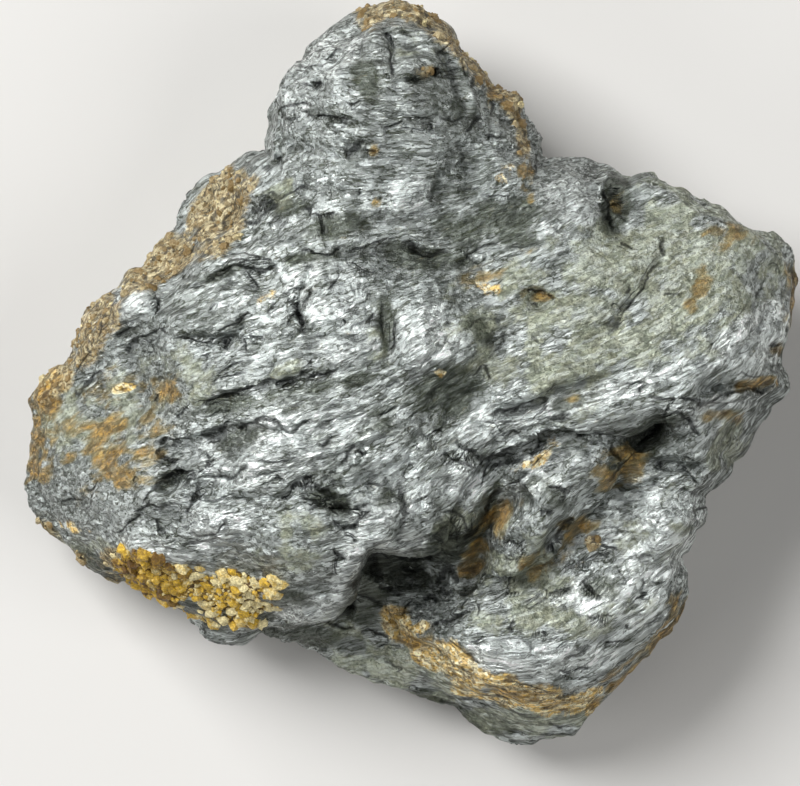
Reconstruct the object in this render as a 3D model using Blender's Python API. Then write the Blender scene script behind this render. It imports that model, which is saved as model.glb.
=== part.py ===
"""A hand specimen of massive graphite: one natural stone, about 78 mm across, resting on a flat patch.

The stone is one closed surface. A grid is wrapped round it like a sock: its middle is the top face, a ring
of it is the rim, its border is the edge of the flat patch below. Heights are in millimetres above the patch.
Places seen from above are in plan units, x to the right and y down, and UNIT turns them into millimetres.
"""
import math

import bmesh
import bpy
import numpy as np

NODE = "graphite_stone"
MM = 0.001
WIDTH = 77.5            # mm, the greatest width seen from above
DEPTH = 74.7            # mm, at right angles to it
HEIGHT = 31.0           # mm, from the resting patch to the highest fold
PLAN_WIDTH = 775.0      # the same width in plan units
UNIT = WIDTH / PLAN_WIDTH
PLAN_CENTRE = np.array((409.5, 373.5))
HUB = (400, 380)        # the outline is seen whole from here

GRID_STEPS = 164        # cells along one side of the wrapped grid
TOP_SHARE = 0.84        # share of the grid, from its middle, that lies above the rim
SHOULDER_SHARE = 0.19   # outer share of the top that turns down into the rim
SHOULDER_START = 0.955  # where that turn begins, as a share of the radius
BASE_SHARE = 0.64       # the flat patch reaches this share of the radius
LEAST_RISE = 2.0        # mm, the top stands at least this far above the rim, so that the rim is blunt
RISE_BLEND = 0.8        # mm, how softly that limit takes over
TRIANGLES = 9600        # of the finished stone
GROUND_SEED = 7
BREAK_SEED = 12
CRUST_SEED = 31
NOISE_GAIN = 1.6        # brings the noise to about -1 to 1
LAYER_SHIFT = 17.3      # keeps the finer layers of the noise apart
SHEET_STIFFNESS = 2.0   # how freely the sheet may miss a spot height
STRAY = 0.5             # mm, how far ledges and creases wander
STRAY_LENGTH = 5.0      # mm, over which they do
LEAST_EDGE = 0.6        # mm, a ledge's edge is at least this wide
UNDERCUT_REACH = 1.2    # mm, how far an undercut pulls the surface along
LEDGE_REACH = 3.5       # times its bent width, a ledge counts for nothing beyond this
CREASE_REACH = 4        # times its half width, a crease counts for nothing beyond this
LEDGE_TAPER = 0.15      # share of a ledge's length over which each end fades
CREASE_TAPER = 0.25
TAPER_POWER = 0.7
SOFT_EDGE = 1.5         # power of the distance in the profile of a crease or a lump

# The outline seen from above, clockwise from the top tip, corners only.
OUTLINE = [
    (392, 0), (415, 7), (445, 19), (468, 46), (490, 68), (503, 86), (517, 94), (523, 117), (536, 137),
    (537, 157), (560, 166), (600, 171), (630, 178), (652, 173), (700, 200), (740, 219), (787, 250),
    (797, 283), (791, 310), (782, 355), (784, 390), (765, 406), (750, 425), (742, 452), (726, 459),
    (720, 482), (705, 500), (703, 525), (681, 562), (671, 627), (643, 668), (612, 694), (590, 716),
    (572, 739), (533, 747), (490, 735), (455, 711), (425, 704), (380, 687), (350, 670), (320, 654),
    (285, 645), (262, 633), (240, 645), (217, 639), (175, 608), (120, 588), (80, 560), (48, 534),
    (22, 489), (31, 455), (31, 428), (33, 402), (41, 382), (70, 362), (83, 335), (103, 307), (130, 274),
    (158, 253), (181, 234), (191, 208), (200, 184), (237, 166), (268, 151), (276, 120), (286, 84),
    (291, 69), (318, 46), (341, 31), (368, 14)]

# Height of the rim, the widest ring of the stone, at places round the outline: plan x, plan y, mm.
RIM_LEVELS = [
    (392, 0, 13), (503, 86, 13), (560, 166, 14), (652, 173, 15), (787, 250, 13), (797, 283, 12),
    (782, 355, 12), (784, 390, 11), (742, 452, 10), (703, 525, 9), (671, 627, 8), (590, 716, 7),
    (533, 747, 5.5), (455, 711, 5.5), (380, 687, 6), (320, 654, 6.5), (262, 633, 7), (217, 639, 6.5),
    (120, 588, 6), (48, 534, 6.5), (22, 489, 7), (31, 428, 7.5), (41, 382, 8), (103, 307, 9.5),
    (158, 253, 11), (200, 184, 11), (268, 151, 13), (286, 84, 14), (341, 31, 14)]

# Spot heights of the top face, joined by a smooth sheet: plan x, plan y, mm.
TOP_LOBE = [
    (392, 20, 20), (330, 60, 22.5), (400, 60, 25), (460, 60, 22), (300, 100, 21), (350, 120, 26),
    (420, 120, 26.5), (490, 120, 23), (520, 150, 19), (285, 150, 21.5), (340, 180, 25.5), (420, 190, 26),
    (480, 200, 25.5), (260, 200, 22), (300, 230, 25), (400, 235, 26), (460, 240, 25.5)]
LEFT_MASS = [
    (215, 210, 16), (200, 260, 21), (150, 265, 14), (250, 300, 26), (330, 290, 28), (400, 290, 28),
    (120, 310, 18.5), (180, 330, 24.5), (280, 350, 29), (360, 350, 30), (90, 360, 16), (130, 390, 19.5),
    (200, 400, 26), (280, 420, 29.5), (360, 430, 29.5), (55, 420, 14.5), (90, 450, 18), (150, 450, 23),
    (220, 480, 27), (300, 490, 29), (370, 500, 29), (60, 500, 14), (110, 520, 19.5), (170, 540, 23.5),
    (230, 540, 25.5), (300, 550, 26.5), (350, 560, 25.5), (390, 545, 26), (130, 570, 16.5), (200, 590, 18.5),
    (260, 605, 19.5), (310, 590, 22), (90, 550, 13.5), (150, 600, 12.5), (230, 635, 11)]
MIDDLE = [
    (440, 300, 28.5), (440, 350, 30), (430, 410, 28), (480, 330, 28), (470, 400, 27.5), (440, 470, 27),
    (420, 520, 26), (500, 470, 26), (540, 540, 23.5), (560, 480, 25.5), (480, 520, 23), (470, 570, 19),
    (520, 590, 19.5), (400, 580, 15), (350, 618, 14)]
RIGHT_BLOCK = [
    (520, 260, 26.5), (560, 200, 24), (610, 200, 23), (660, 200, 23.5), (700, 240, 25), (740, 260, 24),
    (780, 280, 19), (580, 300, 28), (640, 320, 27), (700, 320, 26.5), (760, 320, 23), (600, 370, 28),
    (670, 370, 27.5), (730, 360, 25.5), (775, 370, 20), (560, 410, 28), (640, 400, 27.5),
    (690, 395, 26.5), (740, 395, 23)]
LOWER_TIER = [
    (650, 460, 23), (700, 440, 22.5), (740, 430, 18.5), (620, 490, 22), (700, 490, 20.5), (660, 540, 21),
    (610, 560, 20.5), (690, 560, 17.5), (600, 600, 20), (650, 610, 18.5), (540, 620, 20.5),
    (480, 605, 19.5), (450, 640, 19), (520, 660, 19.5), (580, 660, 18), (630, 660, 15.5), (430, 660, 15),
    (490, 695, 15.5), (560, 710, 14), (600, 700, 13), (380, 660, 10), (340, 640, 11.5), (440, 695, 8.5),
    (520, 735, 8), (570, 730, 8)]

# Ledges: drop, width of its edge, how far the high and the low side are bent, undercut (all mm), and the
# edge's places. The high side is on the left of someone who walks along the edge.
LEDGES = [
    (0.9, 0.5, 3.0, 3.0, 0.0, [(200, 283), (230, 272), (255, 265), (300, 258), (340, 250), (400, 243),
                               (430, 255), (470, 258), (505, 242)]),
    (4.5, 0.4, 2.5, 2.5, 0.6, [(262, 630), (300, 632), (334, 620), (352, 594), (367, 560), (385, 554),
                               (424, 554), (438, 538), (447, 515)]),
    (2.6, 0.35, 2.0, 2.0, 0.4, [(446, 525), (456, 486), (472, 466), (500, 461), (545, 438), (600, 431),
                               (636, 436), (660, 420), (690, 408), (735, 402), (783, 398)]),
    (2.0, 0.35, 2.5, 2.0, 0.2, [(112, 562), (150, 592), (200, 614), (240, 627), (262, 624)]),
    (3.0, 0.4, 2.2, 2.0, 0.4, [(384, 600), (402, 632), (432, 652), (470, 678), (510, 691), (560, 698),
                               (600, 690), (640, 662)]),
    (1.8, 0.4, 3.0, 3.0, 0.0, [(245, 180), (232, 215), (205, 245), (165, 270), (130, 290), (105, 320),
                               (85, 352), (60, 385)]),
    (2.2, 0.35, 1.8, 1.8, 0.3, [(470, 600), (488, 582), (520, 578), (556, 562), (575, 530), (598, 505),
                               (610, 480), (625, 452)]),
    (1.4, 0.4, 2.5, 2.5, 0.0, [(596, 172), (600, 195), (608, 215), (625, 235)]),
    (0.6, 0.3, 3.0, 3.0, 0.0, [(190, 402), (240, 392), (300, 380), (345, 366), (388, 345)]),
    (1.1, 0.3, 3.0, 3.0, 0.0, [(155, 452), (200, 441), (225, 433), (260, 424), (295, 430), (330, 424)]),
    (1.4, 0.6, 5.0, 4.0, 0.0, [(215, 500), (255, 498), (290, 494), (335, 488), (380, 470), (415, 440)]),
    (1.3, 0.5, 5.0, 4.0, 0.0, [(400, 375), (440, 378), (475, 352), (500, 325)]),
    (1.1, 0.4, 4.0, 3.0, 0.0, [(150, 520), (190, 500), (215, 470), (212, 448)])]

# Crests and troughs: height (less than 0 for a trough), half its width (mm), and its places.
CREASES = [
    (1.0, 1.0, [(490, 400), (520, 392), (545, 384), (575, 375), (600, 372)]),
    (0.6, 0.8, [(500, 428), (560, 421), (600, 418), (650, 402), (680, 385), (720, 355), (778, 320)]),
    (1.6, 1.1, [(280, 624), (320, 612), (340, 592), (352, 566), (366, 550)]),
    (1.2, 1.4, [(505, 486), (530, 466), (566, 444), (592, 436)]),
    (1.0, 1.2, [(452, 642), (500, 656), (550, 662), (602, 652)]),
    (0.9, 1.1, [(290, 80), (320, 84), (350, 100), (366, 116)]),
    (0.8, 1.1, [(284, 122), (315, 130), (345, 150)]),
    (-1.3, 0.6, [(372, 26), (377, 50), (378, 75), (380, 96)]),
    (-1.2, 0.6, [(403, 68), (422, 72), (445, 70)]),
    (-1.0, 0.4, [(316, 265), (312, 280), (303, 300), (302, 315), (307, 340)]),
    (-0.8, 0.35, [(287, 293), (296, 298), (305, 291)]),
    (-1.0, 0.4, [(140, 346), (180, 336), (230, 344), (253, 315)]),
    (-1.2, 0.5, [(490, 418), (520, 410), (548, 403)]),
    (-3.2, 1.5, [(622, 456), (645, 436), (664, 420)]),
    (-0.3, 0.4, [(667, 235), (658, 260), (640, 285), (625, 305), (605, 340)]),
    (-1.2, 0.5, [(690, 396), (740, 388), (782, 396)]),
    (-2.2, 0.9, [(519, 492), (498, 515), (480, 548), (473, 572), (464, 598)]),
    (-1.8, 0.8, [(571, 524), (556, 552), (519, 577)]),
    (-1.2, 0.7, [(640, 470), (675, 466), (715, 480)]),
    (-0.5, 0.7, [(385, 300), (389, 340), (386, 376)]),
    (-0.9, 0.5, [(150, 498), (175, 488), (200, 462), (214, 446)]),
    (-0.5, 0.5, [(283, 500), (310, 480), (340, 492)]),
    (-0.9, 0.5, [(330, 515), (355, 508), (380, 512)]),
        (-0.8, 0.35, [(162, 300), (163, 311), (160, 322)]),
    (0.6, 0.7, [(200, 395), (240, 387), (280, 379), (340, 360), (385, 338)]),
    (0.6, 0.7, [(150, 480), (230, 470), (300, 461), (380, 438), (450, 418)])]

# Lumps and pits: plan x, y, the two radii in plan units, turn in degrees, height (mm, less than 0 for a pit).
LUMPS = [
    (137, 303, 24, 20, 0, 1.6), (200, 332, 26, 14, 0, 0.7), (215, 522, 32, 24, 0, 1.8),
    (155, 552, 36, 16, 10, 1.2), (297, 548, 38, 36, 0, 0.8), (510, 162, 26, 36, 0, 2.4),
    (423, 36, 40, 14, 8, 1.3), (410, 198, 22, 18, 0, 0.9), (563, 205, 36, 30, 0, 1.0),
    (575, 482, 40, 22, -48, 1.9), (532, 530, 38, 46, 0, 1.9), (452, 536, 16, 24, 20, 1.2),
    (660, 532, 40, 28, 0, 0.9), (735, 420, 30, 16, -20, 1.6), (700, 452, 20, 36, 0, 1.0),
    (560, 618, 72, 26, 0, 0.9), (238, 632, 26, 13, 0, 1.4), (483, 436, 22, 20, 0, 0.9),
    (418, 345, 32, 28, 0, 0.8), (462, 684, 24, 18, 40, 1.3), (530, 705, 28, 12, 10, 0.9),
    (585, 705, 22, 14, -10, 0.8), (330, 286, 24, 26, 0, 0.7), (250, 190, 26, 14, -20, 1.0),
    (537, 300, 20, 9, 0, -1.2), (322, 86, 9, 7, 0, -1.0), (234, 346, 9, 8, 0, -1.1),
    (775, 347, 11, 10, 0, -1.3), (616, 202, 15, 28, -10, -2.0),
    (395, 578, 36, 10, 10, -2.2), (372, 566, 14, 8, -30, -1.5), (412, 566, 18, 8, 0, -1.4),
    (346, 620, 9, 20, 10, -1.5)]

# The granular crust: its middle line, and the size of its knobs (mm).
CRUST_LINE = [(128, 565), (160, 582), (200, 596), (240, 602), (275, 594), (310, 586)]
CRUST_KNOBS = 34
CRUST_SPREAD = 1.1
CRUST_NARROW = 0.4      # the spread along the line, as a share of that across it
CRUST_RADIUS = (0.8, 1.5)
CRUST_HEIGHT = (0.36, 0.78)

# Rough ground: wavelength, height (mm) and how many finer layers it carries.
ROUGHNESS = [(11.0, 0.9, 2), (4.2, 0.35, 2)]
# The foliation shows on the flanks as uneven lying layers: how far each runs, its thickness, its relief (mm).
LAYER_RUN = 13.0
LAYER_THICKNESS = 4.5
LAYER_RELIEF = 1.1
DEEPEST_ROUGHNESS = 0.9 # mm, so that the thin parts of the rim stay whole
ROUGH_START = 3.0       # mm above the patch, the rough ground is whole from here up
RAGGED_EDGE = 0.45      # mm, how far the outline strays between its corners
RAGGED_COUNT = 12       # how often it does, on a circle of radius 1
STRAY_SHIFTS = (0, 40)  # shifts that give each of these its own part of the noise
ROUGH_SHIFT = 9
LAYERS_SHIFT = 5
BREAKS = 22             # flat breaks on the underside
BREAK_TURN = 0.25       # radians, how unevenly they stand round the stone
BREAK_SLOPE = (-62, -28) # degrees, which way they face below the level
BREAK_DEPTH = (0.4, 2.6)
BREAK_SHARE = 0.85      # how nearly flat they are
FINISH_CUT = 0.06       # mm taken off below, so that the patch is one plane
CUT_PRECISION = 1e-7    # m
GRAPHITE = (0.27, 0.28, 0.275, 1)
GRAPHITE_ROUGHNESS = 0.42
GRAPHITE_METAL = 0.75


def plan(places):
    """Plan units, y down, as millimetres from the middle of the outline, y up."""
    return (np.asarray(places, float)[..., :2] - PLAN_CENTRE) * (UNIT, -UNIT)


def make_noise(seed):
    """Gradient noise in three dimensions: random slopes on a lattice, blended between its corners."""
    rng = np.random.default_rng(seed)
    order = np.tile(rng.permutation(256), 2)
    slopes = rng.normal(size=(256, 3))
    slopes /= np.linalg.norm(slopes, axis=1, keepdims=True)

    def noise(points):
        cell = np.floor(points).astype(int)
        inside = points - cell
        ease = inside ** 3 * (inside * (inside * 6 - 15) + 10)
        total = np.zeros(len(points))
        for corner in np.ndindex(2, 2, 2):
            ix, iy, iz = ((cell + corner) & 255).T
            key = order[order[order[ix] + iy] + iz]
            share = np.prod(np.where(np.array(corner) == 1, ease, 1 - ease), axis=1)
            total += share * ((inside - corner) * slopes[key]).sum(axis=1)
        return total * NOISE_GAIN

    return noise


def rough(noise, points, layers):
    """Noise with finer layers on it, each half as long and half as high as the one before."""
    return sum(noise(points * 2 ** k + LAYER_SHIFT * k) / 2 ** k for k in range(layers))


def smooth_line(places, steps=5):
    """A Catmull-Rom curve through the places, in millimetres."""
    at = plan(places)
    ends = np.vstack([2 * at[0] - at[1], at, 2 * at[-1] - at[-2]])
    t = np.linspace(0, 1, steps, endpoint=False)[:, None]
    runs = [0.5 * (2 * b + (c - a) * t + (2 * a - 5 * b + 4 * c - d) * t ** 2
                   + (3 * b - a - 3 * c + d) * t ** 3)
            for a, b, c, d in zip(ends[:-3], ends[1:-2], ends[2:-1], ends[3:])]
    return np.vstack(runs + [at[-1:]])


def follow(xy, line):
    """Distance from the line (more than 0 on its left), place along it from 0 to 1, and its left normal."""
    count = len(xy)
    nearest = np.full(count, np.inf)
    side = np.zeros(count)
    along = np.zeros(count)
    normal = np.zeros((count, 2))
    runs = np.diff(line, axis=0)
    lengths = np.linalg.norm(runs, axis=1)
    starts = np.concatenate([[0], np.cumsum(lengths)])
    for point, run, length, start in zip(line[:-1], runs, lengths, starts):
        away = xy - point
        t = np.clip(away @ run / length ** 2, 0, 1)
        gap = away - t[:, None] * run
        distance = np.hypot(gap[:, 0], gap[:, 1])
        near = distance < nearest
        nearest[near] = distance[near]
        side[near] = np.sign(run[0] * away[near, 1] - run[1] * away[near, 0])
        along[near] = (start + t[near] * length) / starts[-1]
        normal[near] = np.array((-run[1], run[0])) / length
    return nearest * side, along, normal


def near_line(xy, line, reach):
    """Which points lie in the line's box, widened by the reach."""
    return np.all((xy > line.min(axis=0) - reach) & (xy < line.max(axis=0) + reach), axis=1)


def taper(along, share):
    """1 along the line, falling to 0 over the given share at each end."""
    return np.clip(np.minimum(along, 1 - along) / share, 0, 1) ** TAPER_POWER


def smooth_sheet(spots, xy):
    """The thin plate, bent as little as possible, that passes close to the spot heights."""
    def bend(a, b):
        squared = ((a[:, None] - b[None]) ** 2).sum(axis=2) + 1e-9
        return 0.5 * squared * np.log(squared)

    at = plan(spots)
    heights = np.array([spot[2] for spot in spots], float)
    count = len(at)
    flat = np.c_[np.ones(count), at]
    system = np.zeros((count + 3, count + 3))
    system[:count, :count] = bend(at, at) + SHEET_STIFFNESS * np.eye(count)
    system[:count, count:] = flat
    system[count:, :count] = flat.T
    weights = np.linalg.solve(system, np.concatenate([heights, np.zeros(3)]))
    return bend(xy, at) @ weights[:count] + np.c_[np.ones(len(xy)), xy] @ weights[count:]


def round_outline(angle, noise):
    """Distance of the outline from the hub in each direction, a little ragged between its corners."""
    corners = plan(OUTLINE) - plan([HUB])
    turn = np.arctan2(corners[:, 1], corners[:, 0])
    order = np.argsort(turn)
    radius = np.interp(angle, turn[order], np.hypot(*corners[order].T), period=math.tau)
    ring = np.c_[np.cos(angle), np.sin(angle), np.zeros(len(angle))]
    return radius + RAGGED_EDGE * rough(noise, ring * RAGGED_COUNT, 3)


def rim_height(angle):
    """Height of the rim in each direction from the hub."""
    at = plan(RIM_LEVELS) - plan([HUB])
    turn = np.arctan2(at[:, 1], at[:, 0])
    order = np.argsort(turn)
    levels = np.array([level[2] for level in RIM_LEVELS])
    return np.interp(angle, turn[order], levels[order], period=math.tau)


def crust_lumps():
    """The crust's knobs, strewn along its middle line, in the same form as LUMPS."""
    rng = np.random.default_rng(CRUST_SEED)
    line = np.asarray(CRUST_LINE, float)
    knobs = []
    for share in (np.arange(CRUST_KNOBS) + 0.5) / CRUST_KNOBS:
        place = share * (len(line) - 1)
        x = np.interp(place, np.arange(len(line)), line[:, 0])
        y = np.interp(place, np.arange(len(line)), line[:, 1])
        stray = rng.normal(size=2) * CRUST_SPREAD / UNIT
        radius = rng.uniform(*CRUST_RADIUS) / UNIT
        rise = rng.uniform(*CRUST_HEIGHT)
        knobs.append((x + stray[0] * CRUST_NARROW, y + stray[1], radius, radius, 0, rise))
    return knobs


def top_relief(xy, noise):
    """Height of the top face at each place, and how far each place is pushed sideways under a ledge."""
    height = smooth_sheet(TOP_LOBE + LEFT_MASS + MIDDLE + RIGHT_BLOCK + LOWER_TIER, xy)
    push = np.zeros_like(xy)
    flat = np.c_[xy, np.zeros(len(xy))]
    sideways = [rough(noise, flat / STRAY_LENGTH + shift, 3) for shift in STRAY_SHIFTS]
    strayed = xy + STRAY * np.stack(sideways, axis=1)
    for drop, edge, high_reach, low_reach, undercut, places in LEDGES:
        line = smooth_line(places)
        near = near_line(strayed, line, LEDGE_REACH * max(high_reach, low_reach))
        distance, along, normal = follow(strayed[near], line)
        step = np.tanh(distance / max(edge, LEAST_EDGE)) * taper(along, LEDGE_TAPER)
        reach = np.where(distance > 0, high_reach, low_reach)
        height[near] += 0.5 * drop * step * np.exp(-np.abs(distance) / reach)
        push[near] -= normal * (undercut * step * np.exp(-np.abs(distance) / UNDERCUT_REACH))[:, None]
    for rise, half_width, places in CREASES:
        line = smooth_line(places)
        near = near_line(strayed, line, CREASE_REACH * half_width)
        distance, along, _ = follow(strayed[near], line)
        profile = np.exp(-np.abs(distance / half_width) ** SOFT_EDGE)
        height[near] += rise * taper(along, CREASE_TAPER) * profile
    for x, y, long_radius, short_radius, turn, rise in LUMPS + crust_lumps():
        away = strayed - plan([(x, y)])
        lean = math.radians(-turn)
        u = (away[:, 0] * math.cos(lean) + away[:, 1] * math.sin(lean)) / (long_radius * UNIT)
        v = (away[:, 1] * math.cos(lean) - away[:, 0] * math.sin(lean)) / (short_radius * UNIT)
        height += rise * np.exp(-(u * u + v * v) ** SOFT_EDGE)
    return height, push


def wrap(square, noise):
    """Places of a square grid (-1 to 1) wrapped round the stone, in mm, and how far each is below the rim.

    The distance from the grid's middle, measured in squares, is the way outwards over the top, round the rim
    and inwards below; the place along each square is the direction from the hub.
    """
    a, b = square.T
    ring = np.maximum(np.abs(a), np.abs(b))
    with np.errstate(divide="ignore", invalid="ignore"):
        wide = np.where(a < 0, math.pi, 0) + math.pi / 4 * b / a
        tall = np.where(b < 0, -1, 1) * math.pi / 2 - math.pi / 4 * a / b
    angle = np.nan_to_num(np.where(np.abs(a) >= np.abs(b), wide, tall))
    angle = (angle + math.pi) % math.tau - math.pi
    radius = round_outline(angle, noise)
    rim = rim_height(angle)

    outward = np.clip(ring / TOP_SHARE, 0, 1)
    turn = np.clip((outward - (1 - SHOULDER_SHARE)) / SHOULDER_SHARE, 0, 1) * math.pi / 2
    inner = np.minimum(outward / (1 - SHOULDER_SHARE), 1) * SHOULDER_START
    below = np.clip((ring - TOP_SHARE) / (1 - TOP_SHARE), 0, 1) * math.pi / 2
    share = inner + (1 - SHOULDER_START) * np.sin(turn) - (1 - BASE_SHARE) * (1 - np.cos(below))
    xy = plan([HUB]) + (share * radius)[:, None] * np.c_[np.cos(angle), np.sin(angle)]

    height, push = top_relief(xy, noise)
    on_top = np.cos(turn) * (ring < TOP_SHARE)
    rise = LEAST_RISE + RISE_BLEND * np.logaddexp(0, (height - rim - LEAST_RISE) / RISE_BLEND)
    z = rim * (1 - np.sin(below)) + rise * on_top
    return np.c_[xy + push * on_top[:, None], z], np.sin(below)


def break_underside(points, below):
    """Flat breaks below the rim: what stands beyond a sloping plane is pushed back towards it."""
    rng = np.random.default_rng(BREAK_SEED)
    for turn in np.linspace(0, math.tau, BREAKS, endpoint=False) + rng.uniform(0, BREAK_TURN, BREAKS):
        slope = math.radians(rng.uniform(*BREAK_SLOPE))
        level = math.cos(slope)
        normal = np.array((math.cos(turn) * level, math.sin(turn) * level, math.sin(slope)))
        beyond = points @ normal
        beyond -= beyond.max() - rng.uniform(*BREAK_DEPTH)
        points -= (np.clip(beyond, 0, None) * below)[:, None] * normal * BREAK_SHARE


def build_stone():
    """The stone as one mesh object: wrapped grid, rough ground, fewer triangles, flat patch below."""
    work = bmesh.new()
    bmesh.ops.create_grid(work, x_segments=GRID_STEPS, y_segments=GRID_STEPS, size=1)
    noise = make_noise(GROUND_SEED)
    points, below = wrap(np.array([vertex.co[:2] for vertex in work.verts]), noise)
    break_underside(points, below)
    for vertex, point in zip(work.verts, points):
        vertex.co = point
    bmesh.ops.holes_fill(work, edges=[edge for edge in work.edges if edge.is_boundary], sides=0)
    bmesh.ops.recalc_face_normals(work, faces=work.faces)
    work.normal_update()

    normals = np.array([vertex.normal for vertex in work.verts])
    height = sum(rise * rough(noise, points / length + ROUGH_SHIFT, layers)
                 for length, rise, layers in ROUGHNESS)
    lying = points / (LAYER_RUN, LAYER_RUN, LAYER_THICKNESS)
    height += LAYER_RELIEF * (1 - np.abs(normals[:, 2])) * rough(noise, lying + LAYERS_SHIFT, 2)
    height = np.maximum(height, -DEEPEST_ROUGHNESS)
    points += normals * (height * np.clip(points[:, 2] / ROUGH_START, 0, 1))[:, None]
    for vertex, point in zip(work.verts, points):
        vertex.co = point * MM

    mesh = bpy.data.meshes.new(NODE)
    work.to_mesh(mesh)
    work.free()
    return bpy.data.objects.new(NODE, mesh)


def collapse(stone, triangles):
    """Fewer triangles where the surface is even, and the modifier applied."""
    fewer = stone.modifiers.new("fewer triangles", "DECIMATE")
    fewer.ratio = triangles / (2 * len(stone.data.polygons))
    evaluated = stone.evaluated_get(bpy.context.evaluated_depsgraph_get())
    stone.data = bpy.data.meshes.new_from_object(evaluated)
    stone.modifiers.clear()


def finish_patch(stone):
    """Cuts the underside to one plane, and sets the stone, at its full size, centred on the origin."""
    work = bmesh.new()
    work.from_mesh(stone.data)
    cut = bmesh.ops.bisect_plane(
        work, geom=work.verts[:] + work.edges[:] + work.faces[:], dist=CUT_PRECISION,
        plane_co=(0, 0, FINISH_CUT * MM), plane_no=(0, 0, -1), clear_outer=True)
    rim = [part for part in cut["geom_cut"] if isinstance(part, bmesh.types.BMEdge)]
    bmesh.ops.edgeloop_fill(work, edges=rim)
    bmesh.ops.recalc_face_normals(work, faces=work.faces)
    points = np.array([vertex.co for vertex in work.verts])
    low, high = points.min(axis=0), points.max(axis=0)
    middle = np.array(((low[0] + high[0]) / 2, (low[1] + high[1]) / 2, low[2]))
    points = (points - middle) * np.array((WIDTH, DEPTH, HEIGHT)) * MM / (high - low)
    for vertex, point in zip(work.verts, points):
        vertex.co = point
    bmesh.ops.triangulate(work, faces=work.faces)
    work.to_mesh(stone.data)
    work.free()
    print("size in mm before it is set:", np.round((high - low) / MM, 2))
    print("triangles:", len(stone.data.polygons))


def graphite_material():
    """Silver-grey metallic graphite, dull enough to read as stone."""
    material = bpy.data.materials.new("graphite")
    material.use_nodes = True
    shader = material.node_tree.nodes["Principled BSDF"]
    shader.inputs["Base Color"].default_value = GRAPHITE
    shader.inputs["Roughness"].default_value = GRAPHITE_ROUGHNESS
    shader.inputs["Metallic"].default_value = GRAPHITE_METAL
    return material


def main():
    for thing in list(bpy.data.objects):
        bpy.data.objects.remove(thing)
    group = bpy.data.collections.new("graphite_specimen")
    bpy.context.scene.collection.children.link(group)
    stone = build_stone()
    group.objects.link(stone)
    collapse(stone, TRIANGLES)
    finish_patch(stone)
    stone.data.materials.clear()
    stone.data.materials.append(graphite_material())


main()
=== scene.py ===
# %% [markdown]
# # A hand specimen of graphite
# The object is one natural stone: shiny foliated graphite, dull matrix between its layers, a granular
# ochre crust on one edge and rust in its hollows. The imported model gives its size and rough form, and
# this notebook works out the same stone again at much finer detail, then gives it its finishes.

# %% Load the frame
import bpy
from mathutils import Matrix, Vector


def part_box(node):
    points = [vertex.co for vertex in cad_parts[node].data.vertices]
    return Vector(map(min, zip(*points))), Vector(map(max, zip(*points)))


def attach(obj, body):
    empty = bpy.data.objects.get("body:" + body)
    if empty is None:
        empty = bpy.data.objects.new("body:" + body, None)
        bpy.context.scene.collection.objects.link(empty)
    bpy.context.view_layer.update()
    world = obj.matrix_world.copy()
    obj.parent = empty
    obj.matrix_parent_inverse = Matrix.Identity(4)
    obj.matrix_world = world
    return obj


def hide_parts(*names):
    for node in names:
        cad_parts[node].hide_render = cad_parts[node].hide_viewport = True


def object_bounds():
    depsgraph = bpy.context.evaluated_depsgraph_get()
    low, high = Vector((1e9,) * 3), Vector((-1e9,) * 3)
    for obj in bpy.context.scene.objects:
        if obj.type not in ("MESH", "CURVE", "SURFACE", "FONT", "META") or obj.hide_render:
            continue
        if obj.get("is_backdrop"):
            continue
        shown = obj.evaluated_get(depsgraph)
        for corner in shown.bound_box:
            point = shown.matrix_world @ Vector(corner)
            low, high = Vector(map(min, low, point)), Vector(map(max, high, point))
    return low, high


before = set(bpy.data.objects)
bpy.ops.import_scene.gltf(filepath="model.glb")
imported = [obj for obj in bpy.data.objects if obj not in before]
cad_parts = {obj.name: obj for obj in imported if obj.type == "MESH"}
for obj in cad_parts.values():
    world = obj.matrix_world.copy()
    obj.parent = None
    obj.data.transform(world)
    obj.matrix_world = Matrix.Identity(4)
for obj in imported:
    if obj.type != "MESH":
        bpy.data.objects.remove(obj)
box_before = [list(corner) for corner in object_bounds()]

# %% [markdown]
# ## Real sizes
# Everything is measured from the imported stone. Places on its top face are given in plan units: the
# outline is 775 units wide, x runs to the right and y runs down, as on squared paper laid over it.

# %% Sizes from the frame
import math
from types import SimpleNamespace
import bpy
import numpy as np

NODE = "graphite_stone"
MM = 0.001
low, high = (np.array(corner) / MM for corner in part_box(NODE))
PLAN_WIDTH = 775
PLAN_CENTRE = np.array((409.5, 373.5))
HUB = (400, 380)
UNIT = (high - low)[0] / PLAN_WIDTH


def plan(places):
    """Plan units as millimetres from the stone's middle: (place - centre) times the unit, y turned up."""
    return (np.asarray(places, float)[..., :2] - PLAN_CENTRE) * (UNIT, -UNIT)


print("stone in mm:", np.round(high - low, 1), "one plan unit:", round(UNIT, 3))

# %% [markdown]
# ## Camera, light and floor
# The stone is seen from straight above, so a long lens high up keeps near and far folds at one scale.
# Shiny stone shows what is round it, so one big soft lamp at the upper left and a dimmer surround
# give bright and dark faces. A pale plane carries the stone.

# %% Camera, light and floor
IMAGE = (800, 786)
CAMERA_HEIGHT = 1.2
OUTLINE_LEVEL = 0.012
scene = bpy.context.scene
scene.view_settings.view_transform = "Standard"

camera = bpy.data.objects.new("camera", bpy.data.cameras.new("camera"))
scene.collection.objects.link(camera)
scene.camera = camera
middle = plan([(IMAGE[0] / 2, IMAGE[1] / 2)])[0] * MM
camera.location = (middle[0], middle[1], CAMERA_HEIGHT + OUTLINE_LEVEL)
camera.data.lens = camera.data.sensor_width * CAMERA_HEIGHT / (IMAGE[0] * UNIT * MM)
camera.data.clip_start = 0.01

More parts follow.
